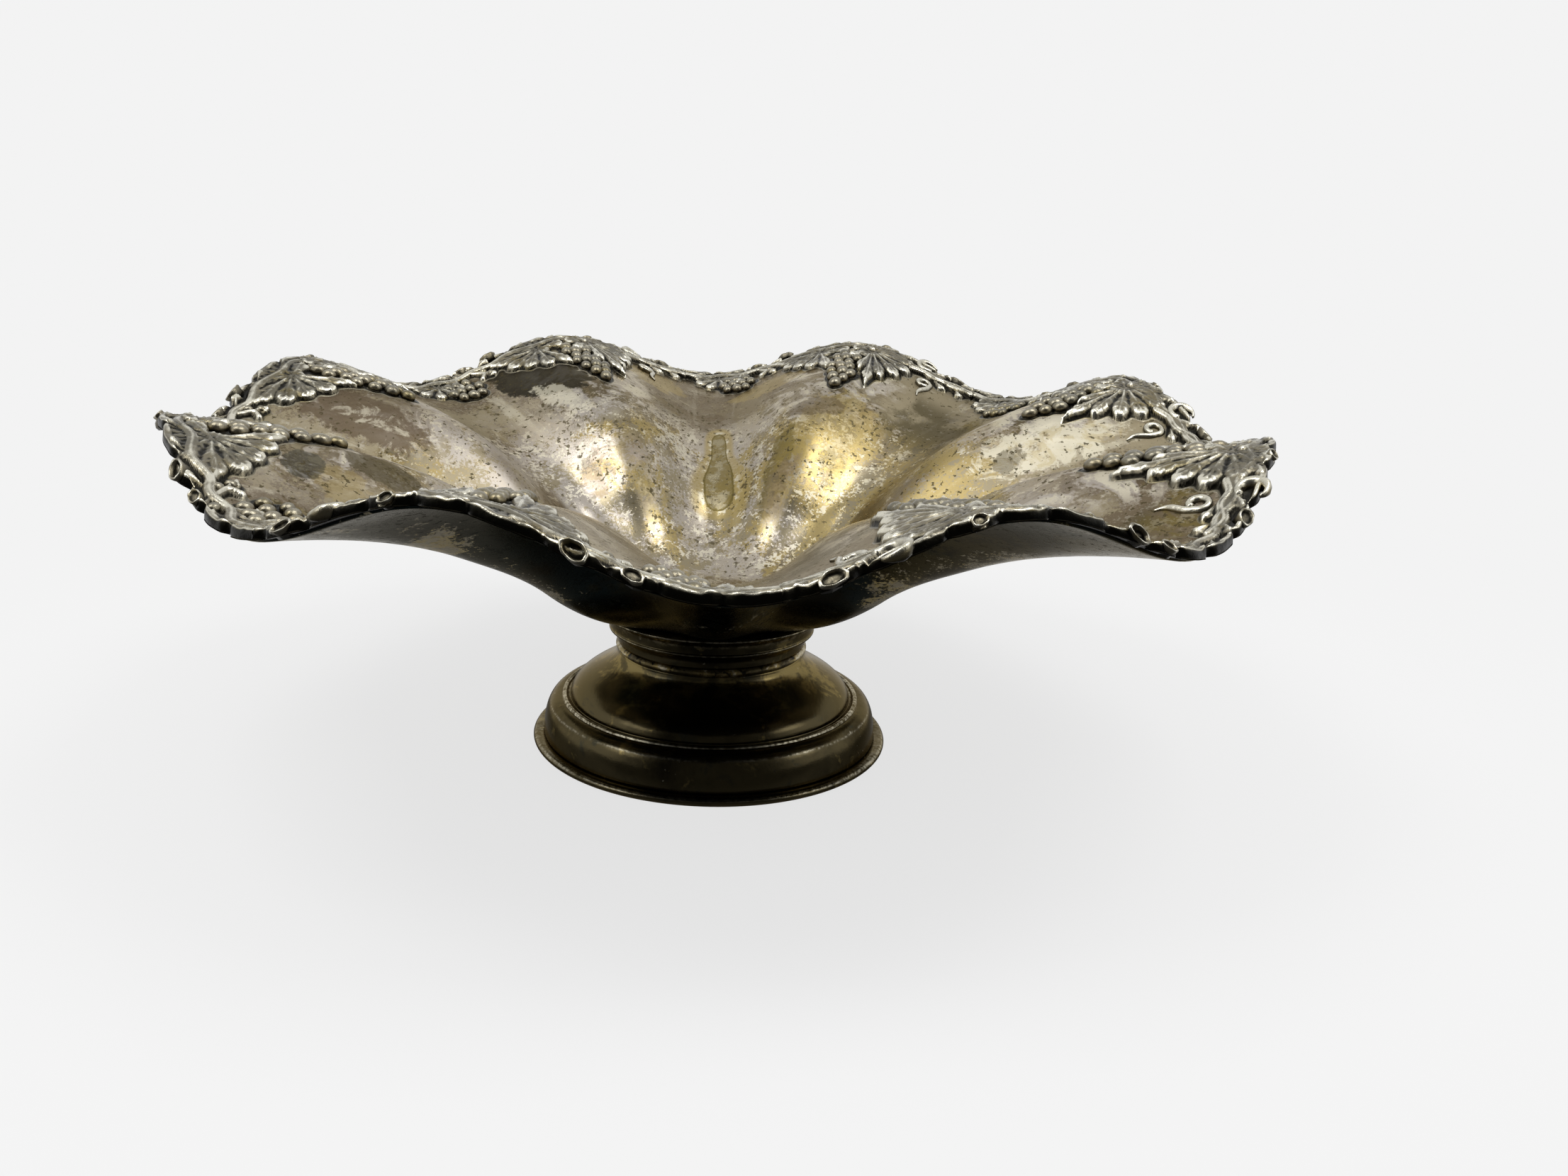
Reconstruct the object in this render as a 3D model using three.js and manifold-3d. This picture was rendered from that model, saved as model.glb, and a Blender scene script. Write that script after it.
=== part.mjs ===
// A footed centrepiece of plated metal: a fluted bowl with a cast grapevine border on its rim,
// carried by a stepped collar on a round spun foot. Millimetres, +Z up, the foot stands on z = 0,
// and the bowl's axis is the Z axis. An angle of 0 looks at the front, -Y, and grows towards +X.
import * as THREE from "three";
import { mergeVertices } from "three/addons/utils/BufferGeometryUtils.js";
import Module from "manifold-3d";

const wasm = await Module();
wasm.setup();

// Driving dimensions in millimetres; angles are in degrees.

// Edge wire: the ring that the foot stands on.
const WIRE_RADIUS = 58;
const WIRE_HEIGHT = 2.6;
const WIRE_DRAW_IN = 1;
const WIRE_LIP = 1.6; // how far the wire reaches in past the foot's wall

// Spun foot: an ovolo moulding, a ledge with a fine bead, and a bell up to the waist.
const FOOT_WALL = 1.4;
const TOE_SETBACK = 2.5;
const OVOLO_HEIGHT = 12;
const OVOLO_WIDTH = 5.9;
const LEDGE_BEAD_RADIUS = 0.9;
const LEDGE_STEP = 1;
const BELL_HEIGHT = 16.2;
const BELL_SWELL = 8;
const WAIST_RADIUS = 30.2;
const WAIST_SWEEP = 6.5;

// Waist bead: the half-round ring over the joint of foot and collar.
const WAIST_BEAD_HEIGHT = 2.4;
const WAIST_BEAD_PROUD = 0.9;
const WAIST_BEAD_WIDTH = 2.6;

// Collar: two coves and fillets that flare up to the flat seat of the bowl.
const COLLAR_HEIGHT = 11.3;
const COLLAR_WALL = 1.4;
const COLLAR_FLARE = 6.3;
const COLLAR_FLANGE = 8.8; // how far the seat reaches in past the collar's wall
const COLLAR_FILLET_HEIGHT = 0.8;
const COLLAR_COVES = 2;

// Bowl: one fluted sheet, measured on its upper face.
const SHEET = 1;
const SEAT_LAND = 6; // width of the flat floor that rests on the collar's flange
const HEEL_REACH = 18;
const WALL_RISE = 19.6;
const WALL_ANGLE = 45;
const RIM_RADIUS = 160;
const RIM_RISE = 57.5;
const RIM_ANGLE = 6.8;
const FLUTES = 8;
const FLUTE_DEPTH = 8;
const FLUTE_FULL_RADIUS = 95;

// Grapevine border: one casting for each flute, seated on the sheet with a solder gap.
const SOLDER_GAP = 0.3;
const BUTT_GAP = 0.3;
const BORDER_WEB = 0.5;
const BORDER_OVERHANG = 3.5;
const VINE_HEIGHT = 3.1;
const VINE_FULL_INWARD = 2;
const VINE_END_INWARD = 6;
const VINE_MARGIN = 1.5; // least web inward of the vine
const DEEPEST_REACH = 52;
const OUTLINE_STEP = 0.5;
const PROBE = 0.5; // step for measuring how the sheet slopes under a grape

// Layout of one casting on the rolled-out rim: lengths along the rim are measured a little in from the
// sheet's edge, from the ridge and clockwise from above, and lengths inward from the sheet's edge.
const PATTERN_INWARD = 5;

// Leaves: the heart where the veins meet, the height, and the lobes as the tip's place and the width.
// One leaf lies on each side of the large bunch, and a small one beside the small bunch.
const LEAVES = [
  {
    heart: [-14, 8],
    rise: 1.8,
    lobes: [
      [-32, 5, 10],
      [-29, 14, 10],
      [-23, 20, 9.5],
      [-15, 25, 9],
      [-6, 28, 8],
      [-2, 4, 9],
    ],
  },
  {
    heart: [8, 7],
    rise: 2.3,
    lobes: [
      [25, 3, 9.5],
      [26.5, 11.5, 9],
      [24.5, 19.5, 8.5],
      [20, 27, 8],
      [17.5, 37.5, 7.5],
      [9.5, 27, 7.5],
      [0, 14, 8],
    ],
  },
  {
    heart: [-57, 6],
    rise: 1.6,
    lobes: [
      [-67.5, 3.5, 7],
      [-67, 10.5, 7],
      [-61.5, 16, 7],
      [-54, 16.5, 7],
      [-47, 11, 7],
      [-47, 4, 7],
    ],
  },
];
const LOBE_NECK = 0.3; // share of a lobe's width at the heart
const LOBE_BELLY = 0.66; // where along its length a lobe is widest
const LOBE_EDGE = 0.55; // height of a lobe's edge as a share of its middle

// Bunches: the middle line from its first to its last row of grapes, half the width and the pitch.
// The large bunch hangs on the ridge and the small one near the channel.
const BUNCHES = [
  { first: [1.5, 10.5], last: [5, 48.5], halfWidth: 10.2, pitch: 4.5 },
  { first: [-49.5, 8], last: [-48.5, 25], halfWidth: 7.6, pitch: 4.1 },
];
const GRAPE_WIDTH = 0.92; // share of the pitch
const GRAPE_RISE = 2.4;
const GRAPE_BELLY = 0.8; // height where a grape is widest
const GRAPE_SUNK = 0.15; // web left under a grape's foot
const GRAPE_SHOULDER = 0.75; // where its side turns in, as a share of its radius and of its rise
const GRAPE_MARGIN = 0.6; // web around a grape
const GRAPE_FREE = 0.5; // share of its radius that stays clear of the leaves
const GRAPE_SIDES = 5;
const ROW_PITCH = 0.92; // distance of the rows as a share of the pitch

// Cut branch ends and the curl that stand out past the rim: place along it, and reach past the overhang.
const STUBS = [
  { along: -42, proud: 1.3 },
  { along: -30.5, proud: 2.1 },
  { along: 11, proud: 1.5 },
  { along: 29, proud: 2.6 },
  { along: 40.5, proud: 1.3 },
];
const STUB_HALF_WIDTH = 4.5;
const STUB_RISE = 1.3;

// Facets of the turned pieces, of the bowl and of one casting.
const TURN_FACETS = 48;
const CURVE_STEPS = 4;
const COLUMNS_PER_FLUTE = 12;
const WALL_RINGS = 5;
const FLANGE_RINGS = 6;
const LEAFY_COLUMNS_PER_FACET = 3;
const BARE_COLUMNS_PER_FACET = 2;
const LEAFY_ROWS = 4;
const SEAT_ROWS = 4;
const SEAM_FACETS_BEFORE_CHANNEL = 1;

// Finishes: tarnished plate, darker on the foot, worn bright on the bead.
const BOWL_FINISH = { color: 0x9a9080, roughness: 0.3, metalness: 1 };
const BORDER_FINISH = { color: 0x8d8778, roughness: 0.35, metalness: 1 };
const FOOT_FINISH = { color: 0x3f392d, roughness: 0.3, metalness: 1 };
const BEAD_FINISH = { color: 0x8a7d5c, roughness: 0.4, metalness: 1 };

// Heights and radii that follow from the stack of pieces.
const FOOT_BASE = WIRE_HEIGHT;
const LEDGE_BASE = FOOT_BASE + OVOLO_HEIGHT;
const WAIST_BASE = LEDGE_BASE + BELL_HEIGHT;
const COLLAR_BASE = WAIST_BASE + WAIST_BEAD_HEIGHT;
const COLLAR_TOP = COLLAR_BASE + COLLAR_HEIGHT;
const FLOOR_HEIGHT = COLLAR_TOP + SHEET;
const TOE_RADIUS = WIRE_RADIUS - WIRE_DRAW_IN - TOE_SETBACK;
const LEDGE_RADIUS = TOE_RADIUS - OVOLO_WIDTH;
const BELL_RADIUS = LEDGE_RADIUS - 2 * LEDGE_BEAD_RADIUS - LEDGE_STEP;
const COLLAR_BORE_RADIUS = WAIST_RADIUS - COLLAR_WALL - COLLAR_FLANGE;
const FLOOR_RADIUS = COLLAR_BORE_RADIUS + SEAT_LAND;
const PATTERN_RADIUS = RIM_RADIUS - PATTERN_INWARD;

const { degToRad, smoothstep, lerp, clamp } = THREE.MathUtils;
const FLUTE_TURN = (2 * Math.PI) / FLUTES;
const FACET_TURN = FLUTE_TURN / COLUMNS_PER_FLUTE;
const FIRST_SEAM = SEAM_FACETS_BEFORE_CHANNEL * FACET_TURN;

// Upper face of the sheet in section: flat floor, a curve up into the wall, a curve out into the flange.
function sheetSection() {
  const wallSlope = Math.tan(degToRad(WALL_ANGLE));
  const rimSlope = Math.tan(degToRad(RIM_ANGLE));
  const wallHeight = FLOOR_HEIGHT + WALL_RISE;
  const rimHeight = FLOOR_HEIGHT + RIM_RISE;
  const heelRadius = FLOOR_RADIUS + HEEL_REACH;
  const wallRadius = heelRadius + WALL_RISE / wallSlope;
  const shoulderRadius =
    (rimHeight - rimSlope * RIM_RADIUS - wallHeight + wallSlope * wallRadius) / (wallSlope - rimSlope);
  const shoulderHeight = wallHeight + wallSlope * (shoulderRadius - wallRadius);
  const floor = new THREE.Vector2(FLOOR_RADIUS, FLOOR_HEIGHT);
  const heel = new THREE.Vector2(heelRadius, FLOOR_HEIGHT);
  const wall = new THREE.Vector2(wallRadius, wallHeight);
  const shoulder = new THREE.Vector2(shoulderRadius, shoulderHeight);
  const rim = new THREE.Vector2(RIM_RADIUS, rimHeight);
  return {
    wall: new THREE.QuadraticBezierCurve(floor, heel, wall),
    flange: new THREE.QuadraticBezierCurve(wall, shoulder, rim),
  };
}
const SECTION = sheetSection();
const FLANGE_RUN = SECTION.flange.getLength();

// A point over the sheet at an angle. The flutes push the section up along its own normal on the
// ridges and down in the channels, and lift is the distance over the upper face.
function fluted(point, tangent, turn, lift) {
  const depth = FLUTE_DEPTH * smoothstep(point.x, FLOOR_RADIUS, FLUTE_FULL_RADIUS);
  const rise = lift - depth * Math.cos(FLUTES * turn);
  const radius = point.x - tangent.y * rise;
  const height = point.y + tangent.x * rise;
  return new THREE.Vector3(radius * Math.sin(turn), -radius * Math.cos(turn), height);
}

// A point over the flange, inward from the sheet's edge. Past the edge the section runs straight on.
function overFlange(turn, inward, lift) {
  const share = clamp(1 - inward / FLANGE_RUN, 0, 1);
  const tangent = SECTION.flange.getTangentAt(share);
  const point = SECTION.flange.getPointAt(share).addScaledVector(tangent, Math.max(0, -inward));
  return fluted(point, tangent, turn, lift);
}

// The same point on the bowl's flat facets, so that a casting lies parallel to the facet under it.
function overFacet(turn, inward, lift) {
  const before = Math.floor(turn / FACET_TURN);
  const start = overFlange(before * FACET_TURN, inward, lift);
  const end = overFlange((before + 1) * FACET_TURN, inward, lift);
  return start.lerp(end, turn / FACET_TURN - before);
}

// A closed solid through loops of equally many points. Each cap lists triangles across an end loop.
function loft(loops, firstCap, lastCap) {
  const size = loops[0].length;
  const last = (loops.length - 1) * size;
  const index = [];
  for (let k = 0; k < last; k += size) {
    for (let i = 0; i < size; i++) {
      const next = (i + 1) % size;
      index.push(k + i, k + next, k + size + next, k + i, k + size + next, k + size + i);
    }
  }
  for (const [a, b, c] of firstCap) {
    index.push(a, c, b);
  }
  for (const [a, b, c] of lastCap) {
    index.push(last + a, last + b, last + c);
  }
  const geometry = new THREE.BufferGeometry().setFromPoints(loops.flat());
  geometry.setIndex(index);
  geometry.computeVertexNormals();
  return geometry;
}

// Triangles across a ring of points, in strips from side to side.
function discCap(size) {
  const cap = [];
  for (let i = 0; i + 1 < size / 2; i++) {
    const far = size - 1 - i;
    cap.push([i, i + 1, far - 1], [i, far - 1, far]);
  }
  return cap;
}

// A turned ring: the outline, radius and height, goes once round the section anticlockwise.
function turned(outline) {
  const closed = [...outline, outline[0]];
  return new THREE.LatheGeometry(closed, TURN_FACETS).rotateX(Math.PI / 2);
}

// The outline moved sideways by a wall's thickness, to the left of its direction.
function insetBy(wall, outline) {
  return outline.map((point, i) => {
    const before = outline[Math.max(i - 1, 0)];
    const after = outline[Math.min(i + 1, outline.length - 1)];
    const along = after.clone().sub(before).normalize();
    return new THREE.Vector2(point.x - along.y * wall, point.y + along.x * wall);
  });
}

// Edge wire with a flat bottom to stand on and a flat top that carries the foot.
function edgeWire() {
  const inside = TOE_RADIUS - FOOT_WALL - WIRE_LIP;
  const edge = WIRE_RADIUS - WIRE_DRAW_IN;
  const outline = new THREE.Path();
  outline.moveTo(inside, 0);
  outline.lineTo(edge, 0);
  outline.quadraticCurveTo(edge + 2 * WIRE_DRAW_IN, WIRE_HEIGHT / 2, edge, WIRE_HEIGHT);
  outline.lineTo(inside, WIRE_HEIGHT);
  return turned(outline.getPoints(CURVE_STEPS));
}

// Outside of the foot from its toe up to the waist, with or without the fine bead on the ledge.
function footOutline(beaded) {
  const outline = new THREE.Path();
  outline.moveTo(TOE_RADIUS, FOOT_BASE);
  outline.quadraticCurveTo(TOE_RADIUS, LEDGE_BASE, LEDGE_RADIUS, LEDGE_BASE);
  if (beaded) {
    outline.absarc(LEDGE_RADIUS - LEDGE_BEAD_RADIUS, LEDGE_BASE, LEDGE_BEAD_RADIUS, 0, Math.PI, false);
  }
  outline.lineTo(BELL_RADIUS, LEDGE_BASE);
  outline.bezierCurveTo(
    BELL_RADIUS,
    LEDGE_BASE + BELL_SWELL,
    WAIST_RADIUS,
    WAIST_BASE - WAIST_SWEEP,
    WAIST_RADIUS,
    WAIST_BASE,
  );
  return outline.getPoints(CURVE_STEPS);
}

// Spun foot: a thin shell that is open underneath and at the waist.
function spunFoot() {
  const inside = insetBy(FOOT_WALL, footOutline(false)).reverse();
  inside[0].y = WAIST_BASE;
  inside[inside.length - 1].y = FOOT_BASE;
  return turned([...footOutline(true), ...inside]);
}

// Half-round ring that covers the joint at the waist.
function waistBead() {
  const inside = WAIST_RADIUS + WAIST_BEAD_PROUD - WAIST_BEAD_WIDTH;
  const middle = WAIST_BASE + WAIST_BEAD_HEIGHT / 2;
  const outline = new THREE.Path();
  outline.moveTo(inside, WAIST_BASE);
  outline.lineTo(WAIST_RADIUS, WAIST_BASE);
  outline.quadraticCurveTo(WAIST_RADIUS + 2 * WAIST_BEAD_PROUD, middle, WAIST_RADIUS, COLLAR_BASE);
  outline.lineTo(inside, COLLAR_BASE);
  return turned(outline.getPoints(CURVE_STEPS));
}

// Collar: coves that flare from the waist to the seat, and a flat flange under the bowl's floor.
function steppedCollar() {
  const coveHeight = COLLAR_HEIGHT / COLLAR_COVES;
  const coveFlare = COLLAR_FLARE / COLLAR_COVES;
  const outline = new THREE.Path();
  outline.moveTo(WAIST_RADIUS, COLLAR_BASE);
  for (let i = 0; i < COLLAR_COVES; i++) {
    const radius = WAIST_RADIUS + i * coveFlare;
    const base = COLLAR_BASE + i * coveHeight;
    const edge = base + coveHeight - COLLAR_FILLET_HEIGHT;
    outline.quadraticCurveTo(radius, edge, radius + coveFlare, edge);
    outline.lineTo(radius + coveFlare, base + coveHeight);
  }
  outline.lineTo(COLLAR_BORE_RADIUS, COLLAR_TOP);
  outline.lineTo(COLLAR_BORE_RADIUS, COLLAR_TOP - COLLAR_WALL);
  outline.lineTo(WAIST_RADIUS - COLLAR_WALL, COLLAR_TOP - COLLAR_WALL - coveFlare);
  outline.lineTo(WAIST_RADIUS - COLLAR_WALL, COLLAR_BASE);
  return turned(outline.getPoints(CURVE_STEPS));
}

// Fluted bowl: rings out under the sheet, round its edge and back over the upper face.
function flutedBowl() {
  const stations = [];
  const add = (curve, first, count) => {
    for (let i = first; i <= count; i++) {
      stations.push({ point: curve.getPoint(i / count), tangent: curve.getTangent(i / count) });
    }
  };
  add(SECTION.wall, 0, WALL_RINGS);
  add(SECTION.flange, 1, FLANGE_RINGS);
  const ring = ({ point, tangent }, lift) =>
    Array.from({ length: FLUTES * COLUMNS_PER_FLUTE }, (_, i) => fluted(point, tangent, i * FACET_TURN, lift));
  const lower = stations.map((station) => ring(station, -SHEET));
  const upper = stations.map((station) => ring(station, 0));
  const cap = discCap(FLUTES * COLUMNS_PER_FLUTE);
  return loft([...lower, ...upper.reverse()], cap, cap);
}

// Width of a lobe at a share of its length, 0 to 1: a neck, a belly and a rounded tip.
function lobeWidth(share) {
  if (share < LOBE_BELLY) {
    return lerp(LOBE_NECK, 1, share / LOBE_BELLY);
  }
  const tip = (share - LOBE_BELLY) / (1 - LOBE_BELLY);
  return Math.sqrt(1 - tip * tip);
}

// Height of a leaf at a place of the layout, or 0 beside it.
function leafHeight({ heart, rise, lobes }, along, inward) {
  const heights = lobes.map(([tipAlong, tipInward, width]) => {
    const middle = new THREE.Vector2(tipAlong - heart[0], tipInward - heart[1]);
    const place = new THREE.Vector2(along - heart[0], inward - heart[1]);
    const share = place.dot(middle) / middle.lengthSq();
    if (share < 0 || share > 1) {
      return 0;
    }
    const across = place.cross(middle) / middle.length() / (lobeWidth(share) * width * 0.5);
    const fall = 1 - across * across;
    return fall > 0 ? rise * lerp(LOBE_EDGE, 1, Math.sqrt(fall)) : 0;
  });
  return Math.max(...heights);
}

// Half the width of a bunch at a share of its length: full shoulders, drawn in to the tip.
function bunchHalfWidth(bunch, share) {
  const shoulder = lerp(0.8, 1, Math.min(1, 3 * share));
  return bunch.halfWidth * shoulder * (1 - share ** 1.8) ** 0.8;
}

// Whether a leaf lies within a distance of a place, tried in four directions.
function nearLeaf(along, inward, distance) {
  const tries = [[0, 0], [distance, 0], [-distance, 0], [0, distance], [0, -distance]];
  return LEAVES.some((leaf) => tries.some(([x, y]) => leafHeight(leaf, along + x, inward + y) > 0));
}

// Places of a bunch's grapes: staggered rows, without those that a leaf covers.
function grapePlaces(bunch) {
  const rows = Math.round((bunch.last[1] - bunch.first[1]) / (ROW_PITCH * bunch.pitch));
  const places = [];
  for (let row = 0; row <= rows; row++) {
    const share = row / rows;
    const reach = bunchHalfWidth(bunch, share);
    const inward = lerp(bunch.first[1], bunch.last[1], share);
    const stagger = (row % 2) / 2;
    const most = Math.ceil(bunch.halfWidth / bunch.pitch);
    for (let slot = -most; slot <= most; slot++) {
      const aside = (slot + stagger) * bunch.pitch;
      const along = lerp(bunch.first[0], bunch.last[0], share) + aside;
      const radius = (GRAPE_WIDTH * bunch.pitch) / 2;
      if (Math.abs(aside) <= reach && !nearLeaf(along, inward, radius * GRAPE_FREE)) {
        places.push({ along, inward, radius });
      }
    }
  }
  return places;
}
const GRAPES = BUNCHES.flatMap(grapePlaces);

// Whether a leaf or a grape with its margin lies at a place of the layout.
function isOrnament(along, inward) {
  const onGrape = (grape) =>
    Math.hypot(along - grape.along, inward - grape.inward) < grape.radius + GRAPE_MARGIN;
  return LEAVES.some((leaf) => leafHeight(leaf, along, inward) > 0) || GRAPES.some(onGrape);
}

// How far a casting reaches in from the sheet's edge: past its vine, leaves and grapes.
function innerReach(along) {
  let inward = DEEPEST_REACH;
  while (inward > VINE_END_INWARD + VINE_MARGIN && !isOrnament(along, inward)) {
    inward -= OUTLINE_STEP;
  }
  return inward;
}

// How strongly a cut branch end shows at a place along the casting, 0 to 1.
function stubSwell(stub, along) {
  return 1 - smoothstep(Math.abs(along - stub.along), 0, STUB_HALF_WIDTH);
}

// Outer reach past the sheet's edge: the even overhang, further out at the cut branch ends.
function outerReach(along) {
  return BORDER_OVERHANG + Math.max(...STUBS.map((stub) => stub.proud * stubSwell(stub, along)));
}

// Height of the casting over the sheet: the web, the vine along the edge, the cut ends and the leaves.
function reliefHeight(along, inward) {
  const edge = 1 - smoothstep(inward, VINE_FULL_INWARD, VINE_END_INWARD);
  const stubs = STUBS.map((stub) => (VINE_HEIGHT + STUB_RISE) * edge * stubSwell(stub, along));
  const leaves = LEAVES.map((leaf) => leafHeight(leaf, along, inward));
  return Math.max(SOLDER_GAP + BORDER_WEB, VINE_HEIGHT * edge, ...stubs, ...leaves);
}

// Place along the layout of an angle round the axis, and back.
function patternAlong(turn) {
  return -PATTERN_RADIUS * (turn + FLUTE_TURN / 2);
}
function patternTurn(along) {
  return -along / PATTERN_RADIUS - FLUTE_TURN / 2;
}

// Evenly spaced values from one to another, both included.
function evenly(count, from, to) {
  return Array.from({ length: count + 1 }, (_, i) => lerp(from, to, i / count));
}

// Angles of a casting's columns, clockwise from its first seam and closer where leaves or grapes lie.
function columnTurns() {
  const turns = [];
  for (let facet = 0; facet < COLUMNS_PER_FLUTE; facet++) {
    const first = FIRST_SEAM - facet * FACET_TURN;
    const leafy = evenly(LEAFY_COLUMNS_PER_FACET, first, first - FACET_TURN);
    const bare = evenly(BARE_COLUMNS_PER_FACET, first, first - FACET_TURN);
    const isLeafy = leafy.some((turn) => innerReach(patternAlong(turn)) > VINE_END_INWARD + VINE_MARGIN);
    turns.push(...(isLeafy ? leafy : bare).slice(0, -1));
  }
  return [...turns, FIRST_SEAM - FLUTE_TURN];
}

// A casting without its grapes: sections across the border, each with its relief above its seat.
function castingBody() {
  const inset = BUTT_GAP / 2 / (RIM_RADIUS - DEEPEST_REACH);
  const sections = columnTurns().map((turn) => {
    const along = patternAlong(turn);
    const outer = -outerReach(along);
    const inner = innerReach(along);
    const top = [outer, VINE_FULL_INWARD, ...evenly(LEAFY_ROWS, VINE_END_INWARD, inner)];
    const seat = evenly(SEAT_ROWS, inner, outer);
    const outline = [
      ...top.map((inward) => new THREE.Vector2(-inward, reliefHeight(along, inward))),
      ...seat.map((inward) => new THREE.Vector2(-inward, SOLDER_GAP)),
    ];
    const place = clamp(turn, FIRST_SEAM - FLUTE_TURN + inset, FIRST_SEAM - inset);
    return { outline, loop: outline.map(({ x, y }) => overFacet(place, -x, y)) };
  });
  const endCap = ({ outline }) => THREE.ShapeUtils.triangulateShape(outline, []);
  const loops = sections.map(({ loop }) => loop);
  return loft(loops, endCap(sections[0]), endCap(sections.at(-1)));
}

// A grape: a faceted berry on a narrow foot, square on the facet under it.
function grapeSolid({ along, inward, radius }) {
  const turn = patternTurn(along);
  const lift = SOLDER_GAP + GRAPE_SUNK;
  const seat = overFacet(turn, inward, lift);
  const beside = overFacet(turn + PROBE / PATTERN_RADIUS, inward, lift).sub(seat);
  const outward = overFacet(turn, inward - PROBE, lift).sub(seat);
  const up = outward.cross(beside).normalize();
  const section = new THREE.Path();
  section.moveTo(0, 0);
  section.lineTo(radius, GRAPE_BELLY);
  section.lineTo(radius * GRAPE_SHOULDER, GRAPE_RISE * GRAPE_SHOULDER);
  section.lineTo(0, GRAPE_RISE);
  const berry = new THREE.LatheGeometry(section.getPoints(), GRAPE_SIDES).rotateX(Math.PI / 2);
  const upright = new THREE.Quaternion().setFromUnitVectors(new THREE.Vector3(0, 0, 1), up);
  return berry.applyQuaternion(upright).translate(seat.x, seat.y, seat.z);
}

// A closed mesh as a solid that can be joined, and back.
function toSolid(geometry) {
  const bare = geometry.clone();
  bare.deleteAttribute("normal");
  bare.deleteAttribute("uv");
  const merged = mergeVertices(bare);
  const vertProperties = new Float32Array(merged.attributes.position.array);
  const triVerts = new Uint32Array(merged.index.array);
  return new wasm.Manifold(new wasm.Mesh({ numProp: 3, vertProperties, triVerts }));
}
function toGeometry(solid) {
  const { vertProperties, triVerts } = solid.getMesh();
  const geometry = new THREE.BufferGeometry();
  geometry.setAttribute("position", new THREE.BufferAttribute(vertProperties, 3));
  geometry.setIndex(new THREE.BufferAttribute(triVerts, 1));
  geometry.computeVertexNormals();
  return geometry;
}

// One casting: its body joined with its grapes.
function borderCasting() {
  const grapes = GRAPES.map((grape) => toSolid(grapeSolid(grape)));
  return toGeometry(grapes.reduce((casting, grape) => casting.add(grape), toSolid(castingBody())));
}

const centrepiece = new THREE.Group();

function addPiece(name, geometry, finish) {
  const mesh = new THREE.Mesh(geometry, new THREE.MeshStandardMaterial(finish));
  mesh.name = name;
  centrepiece.add(mesh);
  return mesh;
}

addPiece("foot_wire", edgeWire(), FOOT_FINISH);
addPiece("foot", spunFoot(), FOOT_FINISH);
addPiece("waist_bead", waistBead(), BEAD_FINISH);
addPiece("collar", steppedCollar(), FOOT_FINISH);
addPiece("bowl", flutedBowl(), BOWL_FINISH);
const CASTING = borderCasting();
for (let i = 0; i < FLUTES; i++) {
  const casting = addPiece(`vine_border_${i + 1}`, CASTING, BORDER_FINISH);
  casting.rotation.z = -i * FLUTE_TURN;
}

export default centrepiece;
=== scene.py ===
import math
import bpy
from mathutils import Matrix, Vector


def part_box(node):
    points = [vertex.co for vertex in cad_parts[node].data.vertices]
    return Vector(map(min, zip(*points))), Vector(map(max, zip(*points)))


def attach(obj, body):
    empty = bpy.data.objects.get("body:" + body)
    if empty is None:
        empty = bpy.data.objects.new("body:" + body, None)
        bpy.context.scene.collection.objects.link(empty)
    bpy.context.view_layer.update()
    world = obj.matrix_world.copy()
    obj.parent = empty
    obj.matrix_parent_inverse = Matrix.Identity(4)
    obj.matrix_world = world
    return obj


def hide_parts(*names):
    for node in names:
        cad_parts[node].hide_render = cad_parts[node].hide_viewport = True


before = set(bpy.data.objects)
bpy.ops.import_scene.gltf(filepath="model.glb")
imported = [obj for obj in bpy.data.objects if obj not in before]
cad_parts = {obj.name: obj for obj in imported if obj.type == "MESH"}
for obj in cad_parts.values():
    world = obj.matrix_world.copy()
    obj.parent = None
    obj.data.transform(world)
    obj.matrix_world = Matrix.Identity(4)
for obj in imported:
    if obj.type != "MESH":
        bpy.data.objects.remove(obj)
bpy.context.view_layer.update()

from types import SimpleNamespace

import bpy
import numpy as np
from bpy.props import FloatProperty, FloatVectorProperty, IntProperty, PointerProperty
from mathutils import Matrix, Vector

bl_info = {
    "name": "Footed Centrepiece",
    "version": (1, 0, 0),
    "blender": (4, 5, 0),
    "location": "View3D > Sidebar > Centrepiece",
    "description": "A fluted, footed bowl in tarnished plate with a cast grapevine border",
    "category": "Object",
}

# Lengths below are in metres unless their comment says otherwise; MM turns millimetres into metres.
MM = 0.001

# Heights of the stack and widths of its rings, read from the frame.
_, WIRE_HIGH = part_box("foot_wire")
FOOT_LOW, FOOT_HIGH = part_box("foot")
COLLAR_LOW, COLLAR_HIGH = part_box("collar")
BOWL_LOW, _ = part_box("bowl")
CASTINGS = sorted(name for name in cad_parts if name.startswith("vine_border"))

# Layout of one casting, in millimetres on the rolled-out rim: along the rim from the ridge, clockwise
# from above, and inward from the sheet's edge. One casting takes up one flute.
REPEAT = 121.7
FIRST_SEAM = -71.0
SEAM_TURN = math.radians(3.75)

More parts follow.
